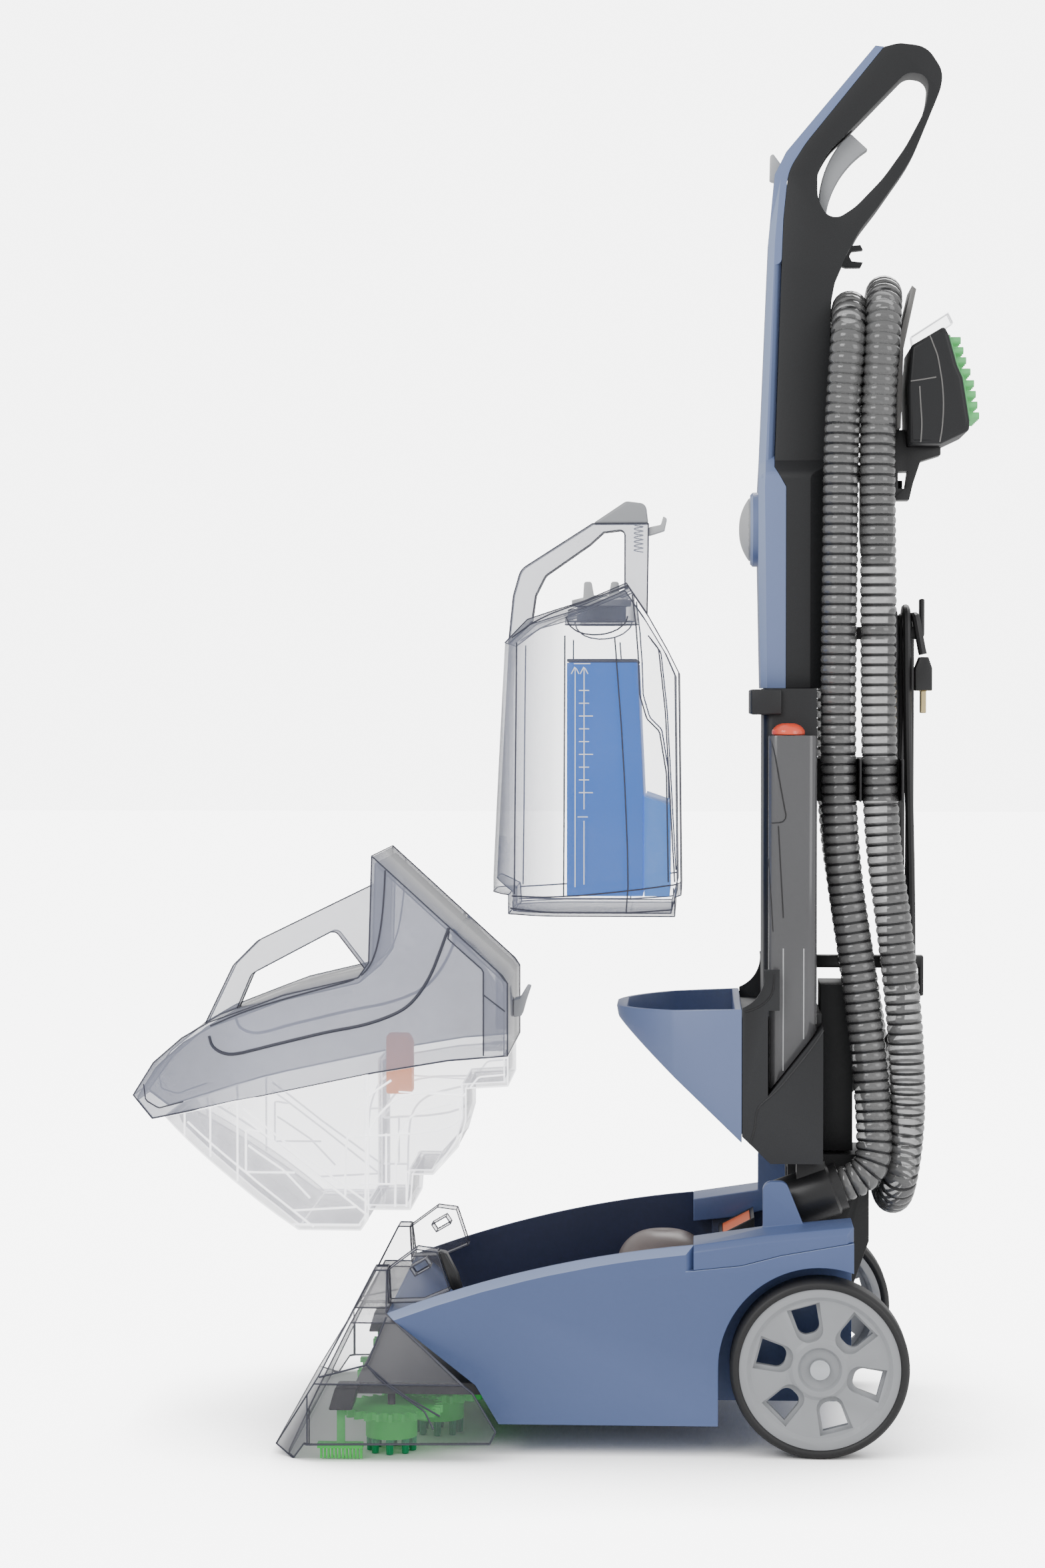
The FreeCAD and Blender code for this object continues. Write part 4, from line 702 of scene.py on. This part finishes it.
def draped(name, node, lines, radius, material, rounds=2, sides=(-1, 1)):
    """Lines laid on a node's side walls, as one piece."""
    surface = surface_of(node)

    def build(work):
        for points in lines:
            for side in sides:
                for run in dropped(surface, eased(points, rounds), side):
                    tube(work, run, lambda far: radius / 1000, 6)
    return made_of(name, build, material, body_of[node])


def slab(name, outline, low, high, material, body):
    """A flat piece of an outline in the side view, between two places across."""
    def build(work):
        near_ring = [work.verts.new(at(x, low, z)) for x, z in outline]
        far_ring = [work.verts.new(at(x, high, z)) for x, z in outline]
        work.faces.new(near_ring)
        work.faces.new(far_ring)
        for k in range(len(outline)):
            j = (k + 1) % len(outline)
            work.faces.new((near_ring[k], near_ring[j], far_ring[j], far_ring[k]))
    return made_of(name, build, material, body, [("BEVEL", {"width": 0.0006, "segments": 2})])


# %% [markdown]
# ## Recovery tank
# The lid has a gasket along its swept seam, an inner seam and a dark rear panel.  The tub is stiffened by
# ribs, drawn as glowing white lines of painted highlight, and such lines on its walls show the elbow duct that
# rises to the float.
# %%
# Seams of the lid, and the tub's ribs as lines of painted highlight
GASKET = [(-481, 316), (-479, 308), (-471, 303), (-460, 302), (-439, 308), (-411, 315), (-382, 322),
          (-359, 326), (-340, 332), (-323, 340), (-312, 352), (-303, 367), (-296, 385), (-291, 399), (-287, 409)]
INNER_SEAM = [(-480, 324), (-451, 337), (-420, 347), (-387, 356), (-361, 363), (-352, 372), (-346, 386),
              (-342, 408), (-340, 431), (-339, 455)]
draped("lid_gasket", "recovery_lid", [GASKET], 1.3, "seam_and_edge_shade")
draped("lid_inner_seam", "recovery_lid", [INNER_SEAM], 0.7, "seam_and_edge_shade")
draped("lid_panel_lines", "recovery_lid",
       [[(-287, 410), (-290, 395), (-262, 370), (-262, 303)],
        [(-262, 351), (-245, 338)], [(-261, 383), (-245, 362)],
        [(-540, 273), (-538, 260), (-526, 255), (-504, 262)]], 0.6, "seam_and_edge_shade", rounds=0)
for side in (-1, 1):
    slab(f"lid_panel_{'near' if side < 0 else 'far'}",
         [(-288, 394), (-263, 369), (-263, 306), (-247, 306), (-247, 352), (-262, 374), (-286, 403)],
         *sorted((side * 86, side * 88)), "panel", body_of["recovery_lid"])
# The flange, ribs, chamber and elbow lines glow white: painted highlight along the tub's ribs.
draped("tub_flange", "recovery_tub", [[(-507, 256), (-456, 268), (-396, 284), (-340, 293), (-302, 299),
                                       (-262, 301), (-243, 302)]], 1.6, "rib")
UPRIGHT_RIBS = [[(-503, 256), (-503, 228)], [(-480, 259), (-480, 214)], [(-457, 265), (-457, 194)]]
SLOPING_RIBS = [[(-500, 246), (-448, 208), (-396, 167)], [(-452, 260), (-411, 228), (-354, 187)],
                [(-452, 253), (-411, 222), (-354, 177)], [(-448, 231), (-420, 212), (-399, 190)]]
LOW_RIBS = [[(-411, 210), (-450, 210), (-450, 244), (-439, 242)], [(-422, 169), (-356, 169)],
            [(-413, 180), (-363, 183)]]
draped("tub_ribs", "recovery_tub", UPRIGHT_RIBS + SLOPING_RIBS + LOW_RIBS, 0.9, "rib", rounds=0)
CHAMBER = [[(-323, 180), (-323, 212), (-318, 207), (-304, 206), (-280, 241)],
           [(-329, 274), (-278, 271), (-266, 286), (-245, 288)]]
draped("tub_chamber", "recovery_tub", CHAMBER, 0.7, "rib", rounds=0)
ELBOW = [[(-371, 192), (-371, 233), (-365, 255), (-353, 271), (-335, 283)],
         [(-355, 168), (-355, 231), (-351, 247), (-339, 263), (-322, 273), (-278, 274)],
         [(-332, 180), (-331, 235), (-325, 250), (-313, 259), (-288, 265)], [(-339, 202), (-339, 241)],
         [(-369, 238), (-282, 243), (-280, 267)], [(-360, 201), (-332, 201)]]
draped("elbow_ribs", "recovery_tub", ELBOW, 0.9, "rib")

# %% [markdown]
# ## Clean-water tank
# Blue cleaning liquid stands in the tank's middle with a lower, paler part behind it.  White arrows and ticks
# are on the near wall, moulded ridges run down both walls, and a small spring sits in the handle.
# %%
# Liquid, marks, ridges and spring
tank_body = body_of["clean_tank"]
LIQUID_HALF = 80
for name, material, outline in (
        ("liquid_column", "liquid", [(-197, 428), (-137, 428), (-137, 507), (-142, 612), (-197, 612)]),
        ("liquid_step", "pale_liquid", [(-136, 428), (-116, 428), (-116, 500), (-136, 507)]),
        ("liquid_top", "seam_and_edge_shade", [(-197, 612.5), (-142, 612.5), (-142, 615), (-197, 615)])):
    slab(name, outline, -LIQUID_HALF, LIQUID_HALF, material, tank_body)
ARROWS = [[(-190, 608), (-190, 436)], [(-183, 608), (-183, 497)], [(-183, 488), (-183, 438)],
          [(-193, 603), (-190, 609), (-187, 603)], [(-186, 603), (-183, 609), (-180, 603)]]
TICKS = [[(-191, 611), (-178, 611)], [(-188, 491), (-180, 491)]]
TICKS += [[(-187, z), (-179 if z % 30 else -176, z)] for z in range(510, 600, 10)]
draped("tank_marks", "clean_tank", ARROWS + TICKS, 0.45, "paint", rounds=0, sides=(-1,))
RIDGES = [[(-237, 628), (-239, 429)], [(-198, 633), (-199, 429)],
          [(-159, 631), (-152, 538), (-148, 443), (-150, 416)],
          [(-146, 671), (-141, 628), (-139, 573), (-119, 553), (-117, 440)],
          [(-133, 633), (-122, 619), (-112, 440)], [(-259, 427), (-200, 428), (-148, 433), (-105, 439)],
          [(-246, 423), (-246, 416), (-114, 416), (-114, 425)],
          [(-197, 648), (-195, 641), (-187, 635), (-173, 633), (-159, 636), (-150, 643), (-149, 648)],
          [(-241, 632), (-218, 647), (-181, 660), (-149, 672)]]
draped("tank_ridges", "clean_tank", RIDGES, 0.6, "seam_and_edge_shade", rounds=1)
COILS, COIL_RADIUS, COIL_HEIGHT, COIL_STEPS = 7, 3.6, 24, 12
coil = [at(-142 + COIL_RADIUS * math.cos(t), COIL_RADIUS * math.sin(t),
           702 + COIL_HEIGHT * t / (math.tau * COILS))
        for t in (math.tau * k / COIL_STEPS for k in range(COILS * COIL_STEPS + 1))]
sweep("handle_spring", coil, lambda far: 0.0005, 6, "steel", tank_body)

# %% [markdown]
# ## Seams of the hood, column, duct, housing and hand tool, and painted highlights on the duct
# %%
# Parting lines and creases, and two painted highlight lines on the duct
draped("hood_creases", "nozzle_hood",
       [[(-332, 111), (-347, 73), (-385, 64)], [(-347, 73), (-313, 49), (-290, 36)],
        [(-347, 73), (-337, 64), (-302, 40), (-295, 26)]], 0.8, "seam_and_edge_shade", rounds=0)
draped("column_seams", "column",
       [[(4, 325), (0, 318), (-7, 308), (-19, 293), (-32, 277), (-44, 267), (-48, 262), (-49, 248), (-53, 235)],
        [(-35, 381), (-34, 358), (-38, 349), (-47, 342), (-57, 339)], [(4, 324), (7, 224)]], 0.7, "black")
# Two pale lines on the duct: painted highlights.
draped("duct_highlights", "side_duct", [[(-27, 388), (-27, 292)], [(-11, 388), (-11, 317)]], 0.5, "light",
       rounds=0)
draped("duct_cover_seam", "side_duct",
       [[(-45, 580), (-42, 564), (-35, 547), (-31, 524), (-27, 502), (-24, 487), (-40, 486), (-47, 488)],
        [(-41, 552), (-40, 488)], [(-40, 485), (-35, 401)], [(-31, 484), (-27, 412)]], 0.5, "black", rounds=1)
draped("tool_seams", "tool_body",
       [[(88, 874), (92, 863), (95, 856), (97, 845), (99, 833), (100, 816), (99, 798), (97, 787)],
        [(81, 831), (82, 814), (83, 801), (82, 787)], [(74, 835), (82, 836), (94, 838)]], 0.6, "fin")

# %% [markdown]
# ## Bristles
# Each brush has eight tufts.  Geometry Nodes set strands round every tuft, with tips of uneven length.
# %%
# The tuft tree and one piece per brush


def tuft_tree():
    """Strands round every tuft of a brush."""
    tree, given, out = node_tree("Tufts", {"Tufts": 8, "Strands": 12, "Ring radius": 0.0165,
                                           "Tuft radius": 0.0025, "Strand length": 0.0115,
                                           "Strand radius": 0.0005, "Turn": 0.0, "Centre X": 0.0,
                                           "Centre Y": 0.0, "Seed": 7})
    big = put(tree, "GeometryNodeMeshCircle", {"Vertices": given["Tufts"], "Radius": given["Ring radius"]})
    small = put(tree, "GeometryNodeMeshCircle", {"Vertices": given["Strands"], "Radius": given["Tuft radius"]})
    bundles = put(tree, "GeometryNodeInstanceOnPoints",
                  {"Points": big.outputs[0], "Instance": small.outputs[0]})
    roots = put(tree, "GeometryNodeRealizeInstances", {"Geometry": bundles.outputs[0]})
    strand = put(tree, "GeometryNodeMeshCone", {"Vertices": 4, "Radius Top": 0.00025,
                                                "Radius Bottom": given["Strand radius"],
                                                "Depth": given["Strand length"]})
    down = put(tree, "GeometryNodeTransform", {"Geometry": strand.outputs["Mesh"], "Rotation": (math.pi, 0, 0)})
    uneven = put(tree, "FunctionNodeRandomValue", {"Seed": given["Seed"]}, data_type="FLOAT")
    uneven.inputs[2].default_value = 0.9
    uneven.inputs[3].default_value = 1.0
    spread = put(tree, "ShaderNodeCombineXYZ", {"X": 1.0, "Y": 1.0, "Z": uneven.outputs[1]})
    strands = put(tree, "GeometryNodeInstanceOnPoints",
                  {"Points": roots.outputs[0], "Instance": down.outputs[0], "Scale": spread.outputs[0]})
    turn = put(tree, "ShaderNodeCombineXYZ", {"Z": given["Turn"]})
    centre = put(tree, "ShaderNodeCombineXYZ", {"X": given["Centre X"], "Y": given["Centre Y"], "Z": 0.0124})
    placed = put(tree, "GeometryNodeTransform",
                 {"Geometry": strands.outputs[0], "Rotation": turn.outputs[0],
                  "Translation": centre.outputs[0]})
    return ending(tree, given, out, placed.outputs[0])


TUFT_TREE = tuft_tree()


def tufts_of(node):
    """Strands on a brush, turned as its own tufts are."""
    low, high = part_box(node)
    centre = ((low[0] + high[0]) / 2, (low[1] + high[1]) / 2)
    feet = [v.co for v in nodes[node].data.vertices if v.co.z < 0.0008]
    angles = [8 * math.atan2(foot.y - centre[1], foot.x - centre[0]) for foot in feet]
    turn = math.atan2(sum(map(math.sin, angles)), sum(map(math.cos, angles))) / 8
    mesh = bpy.data.meshes.new(node + "_base")
    base = bpy.data.objects.new(node + "_base", mesh)
    scene.collection.objects.link(base)
    return grown(node + "_strands", base, TUFT_TREE, "deep", body_of[node],
                 **{"Turn": turn, "Centre X": centre[0], "Centre Y": centre[1]})


for number in range(1, 6):
    strands = tufts_of(f"brush_{number}")
    print(strands.name, len(strands.data.polygons), "faces")

# %% [markdown]
# ## Floor and light
# The floor and the sky are white to the eye without lighting the machine more.  The floor's glow is painted
# darker where something stands close over it, a painted soft shadow under the wheels.
# %%
# A pale floor with a painted contact shadow, a white world and three soft lights
floor_mesh = bpy.data.meshes.new("floor")
floor_mesh.from_pydata([(-15, -15, 0), (15, -15, 0), (15, 15, 0), (-15, 15, 0)], [], [(0, 1, 2, 3)])
floor = bpy.data.objects.new("floor", floor_mesh)
scene.collection.objects.link(floor)
floor_paint = bpy.data.materials.new("PaleFloor")
floor_paint.use_nodes = True
floor_shader = floor_paint.node_tree.nodes["Principled BSDF"]
floor_shader.inputs["Base Color"].default_value = (0.9, 0.9, 0.9, 1)
floor_shader.inputs["Roughness"].default_value = 0.8
WHITENESS = 6.0
SHADOW_REACH, SHADOW_FALL = 0.22, 2.4
paper = floor_paint.node_tree
# Ambient occlusion dims the floor's glow where something stands close over it: a painted contact shadow.
near = put(paper, "ShaderNodeAmbientOcclusion", {"Distance": SHADOW_REACH}, samples=8)
soft = put(paper, "ShaderNodeMath", {0: near.outputs["AO"], 1: SHADOW_FALL}, operation="POWER")
eye = put(paper, "ShaderNodeLightPath")
lit = put(paper, "ShaderNodeMath", {0: soft.outputs[0], 1: eye.outputs["Is Camera Ray"]}, operation="MULTIPLY")
bright = put(paper, "ShaderNodeMath", {0: lit.outputs[0], 1: WHITENESS}, operation="MULTIPLY")
paper.links.new(bright.outputs[0], floor_shader.inputs["Emission Strength"])
floor_shader.inputs["Emission Color"].default_value = (1, 1, 1, 1)
floor_mesh.materials.append(floor_paint)
world = bpy.data.worlds.new("studio")
world.use_nodes = True
sky = world.node_tree
seen = sky.nodes.new("ShaderNodeLightPath")
glow = sky.nodes.new("ShaderNodeMapRange")
glow.inputs["To Min"].default_value = 0.9
glow.inputs["To Max"].default_value = WHITENESS
sky.links.new(seen.outputs["Is Camera Ray"], glow.inputs["Value"])
sky.links.new(glow.outputs[0], sky.nodes["Background"].inputs["Strength"])
sky.nodes["Background"].inputs["Color"].default_value = (1, 1, 1, 1)
scene.world = world


def soft_light(name, place, target, size, power):
    """An area light aimed at a point."""
    data = bpy.data.lights.new(name, "AREA")
    data.shape = "RECTANGLE"
    data.size, data.size_y = size
    data.energy = power
    lamp = bpy.data.objects.new(name, data)
    lamp.location = place
    lamp.rotation_euler = (Vector(target) - Vector(place)).to_track_quat("-Z", "Y").to_euler()
    scene.collection.objects.link(lamp)
    return lamp


soft_light("key", (-1.6, -2.2, 2.4), (0, 0, 0.5), (1.6, 1.6), 45)
soft_light("fill", (2.2, -1.8, 1.4), (0, 0, 0.5), (1.4, 2.0), 22)
soft_light("rim", (0.6, 2.4, 2.6), (0, 0, 0.6), (2.0, 1.2), 40)
